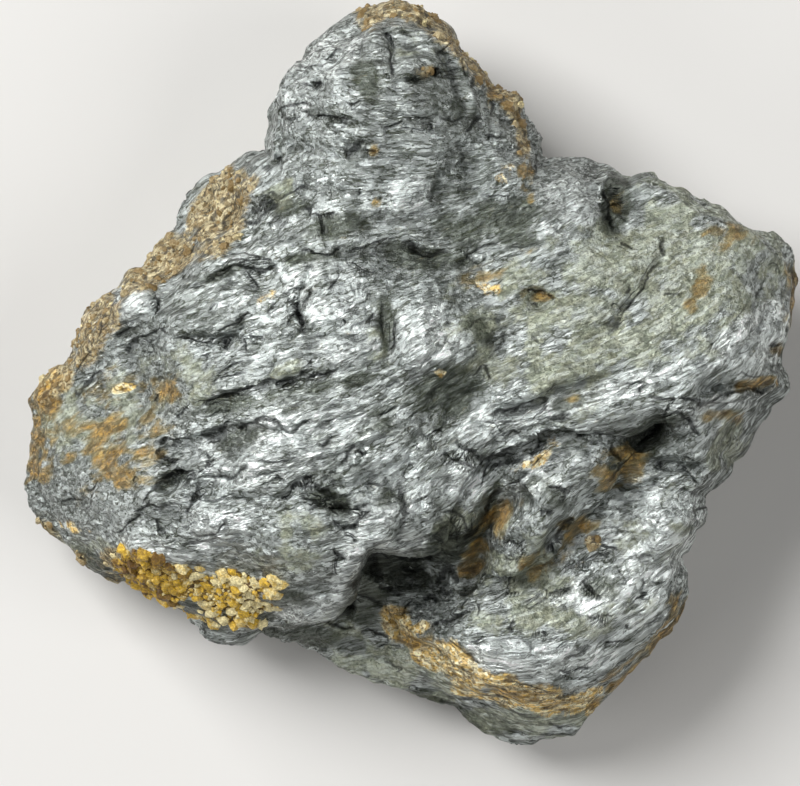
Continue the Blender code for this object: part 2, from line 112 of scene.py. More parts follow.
# %% Lamps and surround
def soft_lamp(name, place, size, watts):
    """A square lamp at the place, turned to face the stone: its local -Z points along minus its place."""
    lamp = bpy.data.objects.new(name, bpy.data.lights.new(name, "AREA"))
    lamp.data.size = size
    lamp.data.energy = watts
    lamp.location = place
    lamp.rotation_euler = (-lamp.location).to_track_quat("-Z", "Y").to_euler()
    scene.collection.objects.link(lamp)
    return lamp


soft_lamp("key", (-0.72, 0.60, 0.95), 0.75, 25)
soft_lamp("side", (-1.0, -0.45, 0.75), 0.7, 4)
soft_lamp("fill", (0.9, -0.3, 1.0), 0.9, 8)
world = bpy.data.worlds.new("surround")
scene.world = world
world.use_nodes = True
surround = world.node_tree.nodes["Background"]
surround.inputs["Color"].default_value = (0.84, 0.84, 0.84, 1)
surround.inputs["Strength"].default_value = 0.075

# %% Floor
FLOOR_HALF = 2.5
floor_mesh = bpy.data.meshes.new("floor")
ring = [(FLOOR_HALF * x, FLOOR_HALF * y, low[2] * MM) for x, y in ((-1, -1), (1, -1), (1, 1), (-1, 1))]
floor_mesh.from_pydata(ring, [], [(0, 1, 2, 3)])
floor = bpy.data.objects.new("floor", floor_mesh)
scene.collection.objects.link(floor)
paper = bpy.data.materials.new("pale floor")
paper.use_nodes = True
matt = paper.node_tree.nodes["Principled BSDF"]
matt.inputs["Base Color"].default_value = (0.62, 0.61, 0.59, 1)
matt.inputs["Roughness"].default_value = 0.8
floor_mesh.materials.append(paper)
floor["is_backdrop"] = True
print("lens in mm:", round(camera.data.lens))

# %% [markdown]
# ## Noise
# A natural surface has no two places alike. Gradient noise gives smooth random hills. Broken stone
# also has flat facets that meet in sharp edges: there each place takes the lowest, or the highest, of
# many small tilted dishes. Both are worked out for all places at once.

# %% Noise helpers
def make_noise(seed):
    """Gradient noise in 3D: random slopes on a lattice, blended between corners by 6t^5 - 15t^4 + 10t^3."""
    rng = np.random.default_rng(seed)
    order = np.tile(rng.permutation(256), 2)
    slopes = rng.normal(size=(256, 3))
    slopes /= np.linalg.norm(slopes, axis=1, keepdims=True)

    def noise(points):
        """The sum over the 8 corners of a cell: share of the corner times slope . way from it."""
        cell = np.floor(points).astype(int)
        inside = points - cell
        ease = inside ** 3 * (inside * (inside * 6 - 15) + 10)
        total = np.zeros(len(points))
        for corner in np.ndindex(2, 2, 2):
            ix, iy, iz = ((cell + corner) & 255).T
            key = order[order[order[ix] + iy] + iz]
            share = np.prod(np.where(np.array(corner) == 1, ease, 1 - ease), axis=1)
            total += share * ((inside - corner) * slopes[key]).sum(axis=1)
        return total * 1.6

    return noise


def rough(noise, points, layers):
    """Noise with finer layers on it, each half as long and half as high as the one before."""
    return sum(noise(points * 2 ** k + 17.3 * k) / 2 ** k for k in range(layers))

# %% Facets
def facets(points, seed, tilt, bowl, sign):
    """Crumpled facets: for each lattice cell one tilted dish, offset + slope . d + bowl |d|^2, and the least
    of them (sign 1, sharp crests) or the most of the upturned dishes (sign -1, sharp troughs)."""
    rng = np.random.default_rng(seed)
    order = np.tile(rng.permutation(256), 2)
    seats = rng.uniform(0.1, 0.9, (256, 3))
    slopes = rng.normal(size=(256, 3)) * tilt
    offsets = rng.uniform(-0.3, 0.3, 256) * tilt
    cell = np.floor(points).astype(int)
    least = np.full(len(points), np.inf)
    for step in np.ndindex(3, 3, 3):
        there = cell + np.array(step) - 1
        ix, iy, iz = (there & 255).T
        key = order[order[order[ix] + iy] + iz]
        away = points - there - seats[key]
        dish = offsets[key] + (away * slopes[key]).sum(axis=1) + bowl * (away ** 2).sum(axis=1)
        np.minimum(least, dish, out=least)
    return sign * least

# %% Two noises
ground = make_noise(7)
detail = make_noise(21)

# %% [markdown]
# ## Lines and sheets
# Ledges, crests and troughs follow lines drawn through a few places, and the top face is a smooth sheet
# through spot heights. A thin plate, bent as little as possible, passes through scattered heights
# without the bumps that a grid of heights would leave.

# %% Lines and sheets
def smooth_line(places, steps=5):
    """A Catmull-Rom curve through the places, which are given as x and y in turn, in millimetres."""
    at = plan(np.reshape(places, (-1, 2)))
    ends = np.vstack([2 * at[0] - at[1], at, 2 * at[-1] - at[-2]])
    t = np.linspace(0, 1, steps, endpoint=False)[:, None]
    runs = [0.5 * (2 * b + (c - a) * t + (2 * a - 5 * b + 4 * c - d) * t ** 2
                   + (3 * b - a - 3 * c + d) * t ** 3)
            for a, b, c, d in zip(ends[:-3], ends[1:-2], ends[2:-1], ends[3:])]
    return np.vstack(runs + [at[-1:]])


def follow(xy, line):
    """Distance from the line (more than 0 on its left), place along it from 0 to 1, and its left normal."""
    count = len(xy)
    nearest = np.full(count, np.inf)
    side = np.zeros(count)
    along = np.zeros(count)
    normal = np.zeros((count, 2))
    runs = np.diff(line, axis=0)
    lengths = np.linalg.norm(runs, axis=1)
    starts = np.concatenate([[0], np.cumsum(lengths)])
    for point, run, length, start in zip(line[:-1], runs, lengths, starts):
        away = xy - point
        t = np.clip(away @ run / length ** 2, 0, 1)
        gap = away - t[:, None] * run
        distance = np.hypot(gap[:, 0], gap[:, 1])
        near = distance < nearest
        nearest[near] = distance[near]
        side[near] = np.sign(run[0] * away[near, 1] - run[1] * away[near, 0])
        along[near] = (start + t[near] * length) / starts[-1]
        normal[near] = np.array((-run[1], run[0])) / length
    return nearest * side, along, normal

# %% Reach, ends and sheet
def near_line(xy, line, reach):
    """Which points lie in the line's box, widened by the reach."""
    return np.all((xy > line.min(axis=0) - reach) & (xy < line.max(axis=0) + reach), axis=1)


def taper(along, share):
    """1 along the line, falling to 0 over the given share at each end, by the power 0.7."""
    return np.clip(np.minimum(along, 1 - along) / share, 0, 1) ** 0.7


def smooth_sheet(spots, xy, stiffness=2.0):
    """A thin plate, bent as little as possible, near the spot heights: sum of w r^2 log r + a + bx + cy."""
    def bend(a, b):
        """r^2 log r for each two places, r apart."""
        squared = ((a[:, None] - b[None]) ** 2).sum(axis=2) + 1e-9
        return 0.5 * squared * np.log(squared)

    at = plan(spots)
    heights = np.array([spot[2] for spot in spots], float)
    count = len(at)
    flat = np.c_[np.ones(count), at]
    system = np.zeros((count + 3, count + 3))
    system[:count, :count] = bend(at, at) + stiffness * np.eye(count)
    system[:count, count:] = flat
    system[count:, :count] = flat.T
    weights = np.linalg.solve(system, np.concatenate([heights, np.zeros(3)]))
    return bend(xy, at) @ weights[:count] + np.c_[np.ones(len(xy)), xy] @ weights[count:]


def smooth_step(value, start, end):
    """0 before start, 1 after end, and 3t^2 - 2t^3 between them."""
    t = np.clip((value - start) / (end - start), 0, 1)
    return t * t * (3 - 2 * t)


# %% [markdown]
# ## Outline and rim
# Seen from above the stone is an uneven lobed shape. Its corners are listed in plan units, clockwise
# from the top tip, and the widest ring has its own height at places round the outline.

# %% Outline and rim
OUTLINE = [
    (392, 0), (415, 7), (445, 19), (468, 46), (490, 68), (503, 86), (517, 94), (523, 117), (536, 137),
    (537, 157), (560, 166), (600, 171), (630, 178), (652, 173), (700, 200), (740, 219), (787, 250),
    (797, 283), (791, 310), (782, 355), (784, 390), (765, 406), (750, 425), (742, 452), (726, 459),
    (720, 482), (705, 500), (703, 525), (681, 562), (671, 627), (643, 668), (612, 694), (590, 716),
    (572, 739), (533, 747), (490, 735), (455, 711), (425, 704), (380, 687), (350, 670), (320, 654),
    (285, 645), (262, 633), (240, 645), (217, 639), (175, 608), (120, 588), (80, 560), (48, 534),
    (22, 489), (31, 455), (31, 428), (33, 402), (41, 382), (70, 362), (83, 335), (103, 307), (130, 274),
    (158, 253), (181, 234), (191, 208), (200, 184), (237, 166), (268, 151), (276, 120), (286, 84),
    (291, 69), (318, 46), (341, 31), (368, 14)]
RIM_LEVELS = [
    (392, 0, 13), (503, 86, 13), (560, 166, 14), (652, 173, 15), (787, 250, 13), (797, 283, 12),
    (782, 355, 12), (784, 390, 11), (742, 452, 10), (703, 525, 9), (671, 627, 8), (590, 716, 7),
    (533, 747, 5.5), (455, 711, 5.5), (380, 687, 6), (320, 654, 6.5), (262, 633, 7), (217, 639, 6.5),
    (120, 588, 6), (48, 534, 6.5), (22, 489, 7), (31, 428, 7.5), (41, 382, 8), (103, 307, 9.5),
    (158, 253, 11), (200, 184, 11), (268, 151, 13), (286, 84, 14), (341, 31, 14)]
RAGGED_EDGE = 0.45


def round_outline(angle, noise):
    """Way from the hub to the outline in each direction: linear between corners, plus a little noise."""
    corners = plan(OUTLINE) - plan([HUB])
    turn = np.arctan2(corners[:, 1], corners[:, 0])
    order = np.argsort(turn)
    radius = np.interp(angle, turn[order], np.hypot(*corners[order].T), period=math.tau)
    ring = np.c_[np.cos(angle), np.sin(angle), np.zeros(len(angle))]
    return radius + RAGGED_EDGE * rough(noise, ring * 12, 3)


def rim_height(angle):
    """Height of the rim in each direction from the hub: linear between the listed levels."""
    at = plan(RIM_LEVELS) - plan([HUB])
    levels = np.array([place[2] for place in RIM_LEVELS])
    turn = np.arctan2(at[:, 1], at[:, 0])
    order = np.argsort(turn)
    return np.interp(angle, turn[order], levels[order], period=math.tau)


# %% [markdown]
# ## The top face
# The top is a landscape: spot heights for the broad form, ledges where layers have broken off, crests and
# troughs where they fold, lumps and pits. Each ledge is a tanh step that fades away on both sides, and
# the deep ones are undercut.

# %% Spot heights, in mm above the resting patch
TOP_LOBE = [
    (392, 20, 20), (330, 60, 22.5), (400, 60, 25), (460, 60, 22), (300, 100, 21), (350, 120, 26),
    (420, 120, 26.5), (490, 120, 23), (520, 150, 19), (285, 150, 21.5), (340, 180, 25.5), (420, 190, 26),
    (480, 200, 25.5), (260, 200, 22), (300, 230, 25), (400, 235, 26), (460, 240, 25.5)]
LEFT_MASS = [
    (215, 210, 16), (200, 260, 21), (150, 265, 14), (250, 300, 26), (330, 290, 28), (400, 290, 28),
    (120, 310, 18.5), (180, 330, 24.5), (280, 350, 29), (360, 350, 30), (90, 360, 16), (130, 390, 19.5),
    (200, 400, 26), (280, 420, 29.5), (360, 430, 29.5), (55, 420, 14.5), (90, 450, 18), (150, 450, 23),
    (220, 480, 27), (300, 490, 29), (370, 500, 29), (60, 500, 14), (110, 520, 19.5), (170, 540, 23.5),
    (230, 540, 25.5), (300, 550, 26.5), (350, 560, 25.5), (390, 545, 26), (130, 570, 16.5), (200, 590, 18.5),
    (260, 605, 19.5), (310, 590, 22), (90, 550, 13.5), (150, 600, 12.5), (230, 635, 11)]
MIDDLE = [
    (440, 300, 28.5), (440, 350, 30), (430, 410, 28), (480, 330, 28), (470, 400, 27.5), (440, 470, 27),
    (420, 520, 26), (500, 470, 26), (540, 540, 23.5), (560, 480, 25.5), (480, 520, 23), (470, 570, 19),
    (520, 590, 19.5), (400, 580, 15), (350, 618, 14)]
RIGHT_BLOCK = [
    (520, 260, 26.5), (560, 200, 24), (610, 200, 23), (660, 200, 23.5), (700, 240, 25), (740, 260, 24),
    (780, 280, 19), (580, 300, 28), (640, 320, 27), (700, 320, 26.5), (760, 320, 23), (600, 370, 28),
    (670, 370, 27.5), (730, 360, 25.5), (775, 370, 20), (560, 410, 28), (640, 400, 27.5),
    (690, 395, 26.5), (740, 395, 23)]
LOWER_TIER = [
    (650, 460, 23), (700, 440, 22.5), (740, 430, 18.5), (620, 490, 22), (700, 490, 20.5), (660, 540, 21),
    (610, 560, 20.5), (690, 560, 17.5), (600, 600, 20), (650, 610, 18.5), (540, 620, 20.5),
    (480, 605, 19.5), (450, 640, 19), (520, 660, 19.5), (580, 660, 18), (630, 660, 15.5), (430, 660, 15),
    (490, 695, 15.5), (560, 710, 14), (600, 700, 13), (380, 660, 10), (340, 640, 11.5), (440, 695, 8.5),
    (520, 735, 8), (570, 730, 8)]

# %% Ledges: drop, width of edge, reach on the high and low side, undercut (mm), then x and y of each
# place, with the high side on the left
LEDGES = [
    (1.2, 0.35, 3.0, 2.0, 0.0, 283, 98, 300, 105, 318, 112, 345, 120, 368, 130),
    (0.9, 0.3, 2.5, 2.0, 0.0, 280, 117, 300, 120, 322, 124, 345, 134, 362, 148),
    (0.8, 0.3, 2.5, 2.0, 0.0, 276, 140, 300, 141, 325, 149, 352, 164),
    (0.9, 0.3, 2.0, 1.6, 0.0, 300, 70, 318, 78, 332, 90, 352, 98),
    (1.3, 0.3, 2.0, 1.6, 0.2, 400, 80, 410, 72, 422, 61, 436, 65, 446, 72),
    (0.5, 0.5, 2.0, 1.6, 0.0, 395, 112, 425, 118, 455, 112, 480, 118),
    (0.5, 0.5, 2.0, 1.6, 0.0, 372, 152, 400, 148, 430, 156, 462, 150),
    (0.6, 0.4, 2.0, 1.6, 0.0, 360, 214, 392, 210, 420, 216, 450, 208),
    (0.9, 0.5, 3.0, 3.0, 0.0, 200, 283, 230, 272, 255, 265, 300, 258, 340, 250, 400, 243, 430, 255, 470,
     258, 505, 242),
    (4.5, 0.4, 2.5, 2.5, 0.6, 262, 630, 300, 632, 334, 620, 352, 594, 367, 560, 385, 554, 424, 554, 438,
     538, 447, 515),
    (2.6, 0.35, 2.0, 2.0, 0.4, 446, 525, 456, 486, 472, 466, 500, 461, 545, 438, 600, 431, 636, 436, 660,
     420, 690, 408, 735, 402, 783, 398),
    (2.0, 0.35, 2.5, 2.0, 0.2, 112, 562, 150, 592, 200, 614, 240, 627, 262, 624),
    (3.0, 0.4, 2.2, 2.0, 0.4, 384, 600, 402, 632, 432, 652, 470, 678, 510, 691, 560, 698, 600, 690, 640,
     662),
    (1.8, 0.4, 3.0, 3.0, 0.0, 245, 180, 232, 215, 205, 245, 165, 270, 130, 290, 105, 320, 85, 352, 60,
     385),
    (2.2, 0.35, 1.8, 1.8, 0.3, 470, 600, 488, 582, 520, 578, 556, 562, 575, 530, 598, 505, 610, 480, 625,
     452),
    (1.4, 0.4, 2.5, 2.5, 0.0, 596, 172, 600, 195, 608, 215, 625, 235),
    (0.6, 0.3, 3.0, 3.0, 0.0, 190, 402, 240, 392, 300, 380, 345, 366, 388, 345),
    (1.1, 0.3, 3.0, 3.0, 0.0, 155, 452, 200, 441, 225, 433, 260, 424, 295, 430, 330, 424),
    (1.4, 0.6, 5.0, 4.0, 0.0, 215, 500, 255, 498, 290, 494, 335, 488, 380, 470, 415, 440),
    (1.3, 0.5, 5.0, 4.0, 0.0, 400, 375, 440, 378, 475, 352, 500, 325),
    (1.1, 0.4, 4.0, 3.0, 0.0, 150, 520, 190, 500, 215, 470, 212, 448)]

# %% Crests and troughs: height (less than 0 for a trough), half its width (mm), x and y of each place
CREASES = [
    (1.0, 1.0, 490, 400, 520, 392, 545, 384, 575, 375, 600, 372),
    (0.6, 0.8, 500, 428, 560, 421, 600, 418, 650, 402, 680, 385, 720, 355, 778, 320),
    (1.6, 1.1, 280, 624, 320, 612, 340, 592, 352, 566, 366, 550),
    (1.2, 1.4, 505, 486, 530, 466, 566, 444, 592, 436),
    (1.0, 1.2, 452, 642, 500, 656, 550, 662, 602, 652),
    (0.9, 1.1, 290, 80, 320, 84, 350, 100, 366, 116),
    (0.8, 1.1, 284, 122, 315, 130, 345, 150),
    (-1.3, 0.8, 386, 26, 388, 42, 391, 58, 398, 72),
    (1.0, 0.9, 374, 14, 376, 32, 379, 52, 386, 74, 396, 86),
    (-0.8, 0.6, 404, 84, 418, 84, 430, 80, 440, 72),
    (0.8, 0.7, 338, 40, 322, 52, 306, 62, 290, 76),
    (-0.7, 0.5, 346, 52, 330, 62, 316, 70, 300, 82),
    (0.6, 0.6, 356, 58, 342, 70, 326, 78),
    (0.7, 0.6, 440, 34, 456, 48, 466, 68, 474, 92, 482, 116),
    (-0.6, 0.5, 446, 52, 454, 70, 462, 92, 468, 114),
    (-1.0, 0.4, 316, 265, 312, 280, 303, 300, 302, 315, 307, 340),
    (-0.8, 0.35, 287, 293, 296, 298, 305, 291),
    (-1.0, 0.4, 140, 346, 180, 336, 230, 344, 253, 315),
    (-1.2, 0.5, 490, 418, 520, 410, 548, 403),
    (-3.2, 1.5, 622, 456, 645, 436, 664, 420),
    (-0.3, 0.4, 667, 235, 658, 260, 640, 285, 625, 305, 605, 340),
    (-1.2, 0.5, 690, 396, 740, 388, 782, 396),
    (-0.7, 0.7, 608, 170, 613, 190, 616, 212, 622, 238),
    (-2.2, 0.9, 519, 492, 498, 515, 480, 548, 473, 572, 464, 598),
    (-1.8, 0.8, 571, 524, 556, 552, 519, 577),
    (-1.2, 0.7, 640, 470, 675, 466, 715, 480),
    (-0.4, 1.0, 385, 300, 389, 340, 386, 376),
    (-0.9, 0.5, 150, 498, 175, 488, 200, 462, 214, 446),
    (-0.5, 0.5, 283, 500, 310, 480, 340, 492),
    (-0.9, 0.5, 330, 515, 355, 508, 380, 512),
    (-0.8, 0.35, 162, 300, 163, 311, 160, 322),
    (0.6, 0.7, 200, 395, 240, 387, 280, 379, 340, 360, 385, 338),
    (0.6, 0.7, 150, 480, 230, 470, 300, 461, 380, 438, 450, 418)]

# %% Lumps and pits: x, y, two radii in plan units, turn in degrees, height in mm (less than 0 for a pit)
LUMPS = [
    (409, 46, 22, 17, 0, -1.1), (418, 73, 18, 10, -15, 0.6), (432, 74, 9, 7, 40, -1.1),
    (137, 303, 24, 20, 0, 1.6), (200, 332, 26, 14, 0, 0.7), (215, 522, 32, 24, 0, 1.8),
    (155, 552, 36, 16, 10, 1.2), (297, 548, 38, 36, 0, 0.8), (510, 162, 26, 36, 0, 2.4),
    (423, 36, 40, 14, 8, 1.3), (410, 198, 22, 18, 0, 0.9), (563, 205, 36, 30, 0, 1.0),
    (575, 482, 40, 22, -48, 1.9), (532, 530, 38, 46, 0, 1.9), (452, 536, 16, 24, 20, 1.2),
    (660, 532, 40, 28, 0, 0.9), (735, 420, 30, 16, -20, 1.6), (700, 452, 20, 36, 0, 1.0),
    (560, 618, 72, 26, 0, 0.9), (238, 632, 26, 13, 0, 1.4), (483, 436, 22, 20, 0, 0.9),
    (418, 345, 32, 28, 0, 0.8), (462, 684, 24, 18, 40, 1.3), (530, 705, 28, 12, 10, 0.9),
    (585, 705, 22, 14, -10, 0.8), (330, 286, 24, 26, 0, 0.7), (250, 190, 26, 14, -20, 1.0),
    (537, 300, 20, 9, 0, -1.2), (322, 86, 9, 7, 0, -1.0), (234, 346, 9, 8, 0, -1.1),
    (775, 347, 11, 10, 0, -1.3), (395, 578, 36, 10, 10, -1.5), (372, 566, 14, 8, -30, -1.2),
    (412, 566, 18, 8, 0, -1.0), (346, 620, 9, 20, 10, -1.5)]
UNDERCUT_REACH = 1.2

# %% [markdown]
# ### Grooves
# Dark slits run between the leaves where a layer has split or slipped. A thin cutter could make them, but
# it would tear the closed surface, so each is a narrow furrow along a line read off the stone. The way
# to its middle is kept for the material, which paints shade into its bottom finer than the mesh can.

# %% Grooves: half width in plan units, strength from 0 to 1, then x and y of each place
GROOVE_SLOPE = 0.9
GROOVE_WIDTH = 0.85
GROOVE_GRID = 0.34
FAR_SIDE = 3.0
GROOVE_LEAST = 0.06
TOP_GROOVES = [
    (1.8, 0.6, 330, 45, 338, 48, 334, 55, 326, 60), (1.5, 0.5, 345, 58, 355, 54, 365, 52, 370, 44),
    (1.5, 0.4, 366, 34, 364, 48, 361, 62), (1.6, 0.6, 384, 24, 385, 34, 384, 46),
    (3.0, 0.9, 384, 45, 386, 55, 388, 65, 392, 74, 398, 79), (1.5, 0.7, 385, 28, 390, 36, 393, 44),
    (2.0, 0.6, 404, 84, 414, 82, 424, 82), (3.0, 0.8, 426, 80, 431, 75, 436, 69, 442, 66),
    (1.5, 0.5, 400, 25, 405, 32, 414, 34), (1.5, 0.5, 300, 72, 308, 66, 316, 66),
    (3.5, 0.9, 315, 84, 321, 83, 328, 82), (2.0, 0.6, 305, 82, 315, 88, 325, 88),
    (2.5, 0.7, 282, 110, 292, 106, 304, 104, 314, 106, 318, 110),
    (2.0, 0.7, 308, 118, 318, 117, 330, 116, 340, 118, 350, 116), (1.8, 0.7, 283, 117, 295, 120, 305, 118),
    (1.5, 0.7, 345, 103, 353, 106, 358, 104, 362, 100), (4.0, 0.9, 348, 158, 355, 150, 362, 143, 368, 141),
    (2.0, 0.7, 365, 150, 376, 153, 380, 150), (2.0, 0.6, 385, 135, 398, 126, 405, 121),
    (1.5, 0.4, 400, 104, 415, 104, 430, 101), (1.5, 0.5, 402, 120, 418, 119, 435, 122),
    (1.5, 0.5, 400, 130, 415, 132, 430, 130), (2.0, 0.6, 430, 122, 434, 130, 428, 132),
    (1.5, 0.5, 340, 120, 348, 125, 345, 132), (1.4, 0.6, 438, 52, 446, 50, 452, 44, 452, 34),
    (1.4, 0.6, 436, 66, 446, 62, 456, 60), (1.4, 0.6, 438, 74, 448, 70, 458, 68),
    (1.4, 0.5, 434, 80, 446, 78, 458, 76), (1.5, 0.6, 460, 48, 462, 58, 463, 70, 466, 80),
    (1.5, 0.5, 470, 68, 476, 76, 480, 84), (1.8, 0.7, 497, 95, 499, 104, 497, 112),
    (2.0, 0.8, 466, 134, 472, 128, 478, 122, 484, 118), (2.0, 0.7, 488, 142, 492, 134, 500, 136, 508, 128),
    (1.5, 0.5, 462, 152, 468, 158, 464, 164), (3.0, 0.9, 533, 158, 534, 168, 532, 178),
    (2.0, 0.6, 480, 196, 490, 198, 500, 197, 510, 195), (1.5, 0.5, 440, 118, 452, 120, 464, 119, 474, 120),
    (1.5, 0.5, 460, 192, 470, 190, 480, 188), (1.5, 0.5, 405, 205, 412, 207, 418, 200),
    (1.8, 0.9, 270, 188, 276, 193, 281, 196, 286, 194, 294, 190, 300, 188, 306, 184),
    (4.0, 0.6, 264, 164, 272, 170), (2.0, 0.8, 278, 156, 284, 158),
    (2.0, 0.8, 240, 215, 248, 221, 255, 220, 262, 212, 270, 206, 280, 203),
    (2.0, 0.6, 245, 208, 252, 210, 260, 206, 268, 200, 276, 196),
    (1.8, 0.7, 313, 215, 318, 214, 326, 216, 338, 214), (1.5, 0.6, 305, 205, 310, 210, 312, 217),
    (1.5, 0.6, 238, 250, 250, 254, 262, 258, 270, 257), (2.0, 0.8, 207, 208, 211, 213),
    (1.6, 0.6, 236, 190, 233, 200, 229, 208, 224, 216, 220, 228), (2.0, 0.6, 360, 192, 362, 198)]

# %% Grooves of the left mass
LEFT_GROOVES = [
    (3.5, 1.0, 203, 440, 212, 441, 222, 436, 229, 429, 233, 424), (2.0, 0.8, 238, 432, 246, 431, 254, 428),
    (2.5, 0.9, 160, 446, 168, 442, 176, 442, 184, 445), (2.0, 0.8, 160, 455, 168, 457, 176, 460, 180, 457),
    (4.5, 1.0, 157, 492, 165, 487, 173, 483, 179, 477), (2.0, 0.8, 179, 476, 184, 474, 190, 475, 197, 473),
    (2.5, 0.7, 182, 488, 188, 484, 194, 478, 200, 474),
    (1.7, 0.9, 183, 520, 190, 510, 196, 502, 201, 496, 206, 488),
    (2.0, 0.9, 140, 518, 146, 512, 152, 507, 158, 511, 163, 514), (1.6, 0.6, 145, 508, 152, 498, 160, 492),
    (2.0, 0.8, 120, 536, 127, 534, 131, 528, 138, 522, 148, 516), (3.0, 0.9, 160, 524, 163, 532, 168, 537),
    (2.0, 0.7, 202, 480, 210, 470, 214, 463, 220, 458), (2.0, 0.8, 208, 472, 212, 461, 209, 454),
    (2.0, 0.6, 205, 484, 214, 481, 224, 480, 234, 482, 242, 476, 250, 468, 258, 462),
    (1.6, 0.6, 203, 500, 212, 500, 220, 502, 228, 500, 238, 494),
    (2.0, 0.8, 196, 545, 204, 543, 214, 541, 222, 536, 229, 528, 231, 520),
    (2.0, 0.6, 186, 550, 196, 549, 206, 549, 216, 546, 226, 540), (1.5, 0.5, 180, 536, 186, 530, 194, 521),
    (2.5, 0.9, 76, 392, 80, 398, 84, 396, 88, 388, 94, 382),
    (1.7, 0.7, 90, 494, 98, 492, 104, 486, 106, 481), (1.8, 0.8, 60, 505, 70, 504, 80, 503, 90, 504),
    (1.5, 0.5, 88, 516, 94, 508, 98, 501), (1.5, 0.8, 136, 485, 138, 481, 140, 477),
    (1.5, 0.8, 155, 403, 158, 398, 161, 393),
    (2.0, 0.8, 196, 407, 207, 401, 215, 403, 228, 398, 240, 397, 250, 393, 262, 390),
    (1.5, 0.6, 175, 423, 184, 418, 190, 412, 196, 408), (1.5, 0.5, 200, 420, 210, 419, 222, 415, 236, 411),
    (3.0, 1.0, 240, 432, 250, 428, 262, 422, 275, 421, 284, 428, 294, 433, 303, 428, 318, 423),
    (2.0, 1.0, 283, 499, 292, 494, 300, 487, 308, 482, 316, 480),
    (4.0, 0.8, 302, 490, 312, 488, 324, 492, 334, 497, 344, 499),
    (2.0, 0.8, 300, 497, 312, 503, 326, 502, 340, 499, 352, 497, 358, 490),
    (3.0, 0.9, 312, 513, 324, 508, 334, 510, 346, 511, 358, 514, 368, 513),
    (5.0, 1.0, 340, 532, 350, 530, 358, 524, 366, 518, 374, 512), (2.5, 0.9, 332, 512, 336, 524, 342, 531),
    (4.0, 1.0, 334, 548, 340, 556, 348, 560), (2.0, 0.7, 345, 536, 352, 540, 358, 546),
    (1.5, 0.8, 334, 436, 331, 442, 327, 447, 322, 449), (1.8, 0.7, 260, 463, 270, 464, 282, 464, 304, 459),
    (1.8, 0.7, 258, 481, 266, 476, 276, 475, 286, 474), (1.6, 0.6, 262, 489, 270, 484, 280, 481, 290, 482),
    (1.5, 0.5, 288, 510, 294, 512, 300, 506), (2.5, 0.7, 358, 448, 352, 454, 349, 462, 344, 467),
    (1.5, 0.7, 358, 452, 366, 455), (1.5, 0.6, 362, 484, 370, 486, 378, 487, 386, 486),
    (5.0, 0.5, 397, 478, 402, 495, 404, 515, 400, 535, 398, 550), (1.5, 0.5, 320, 427, 330, 425, 340, 421)]

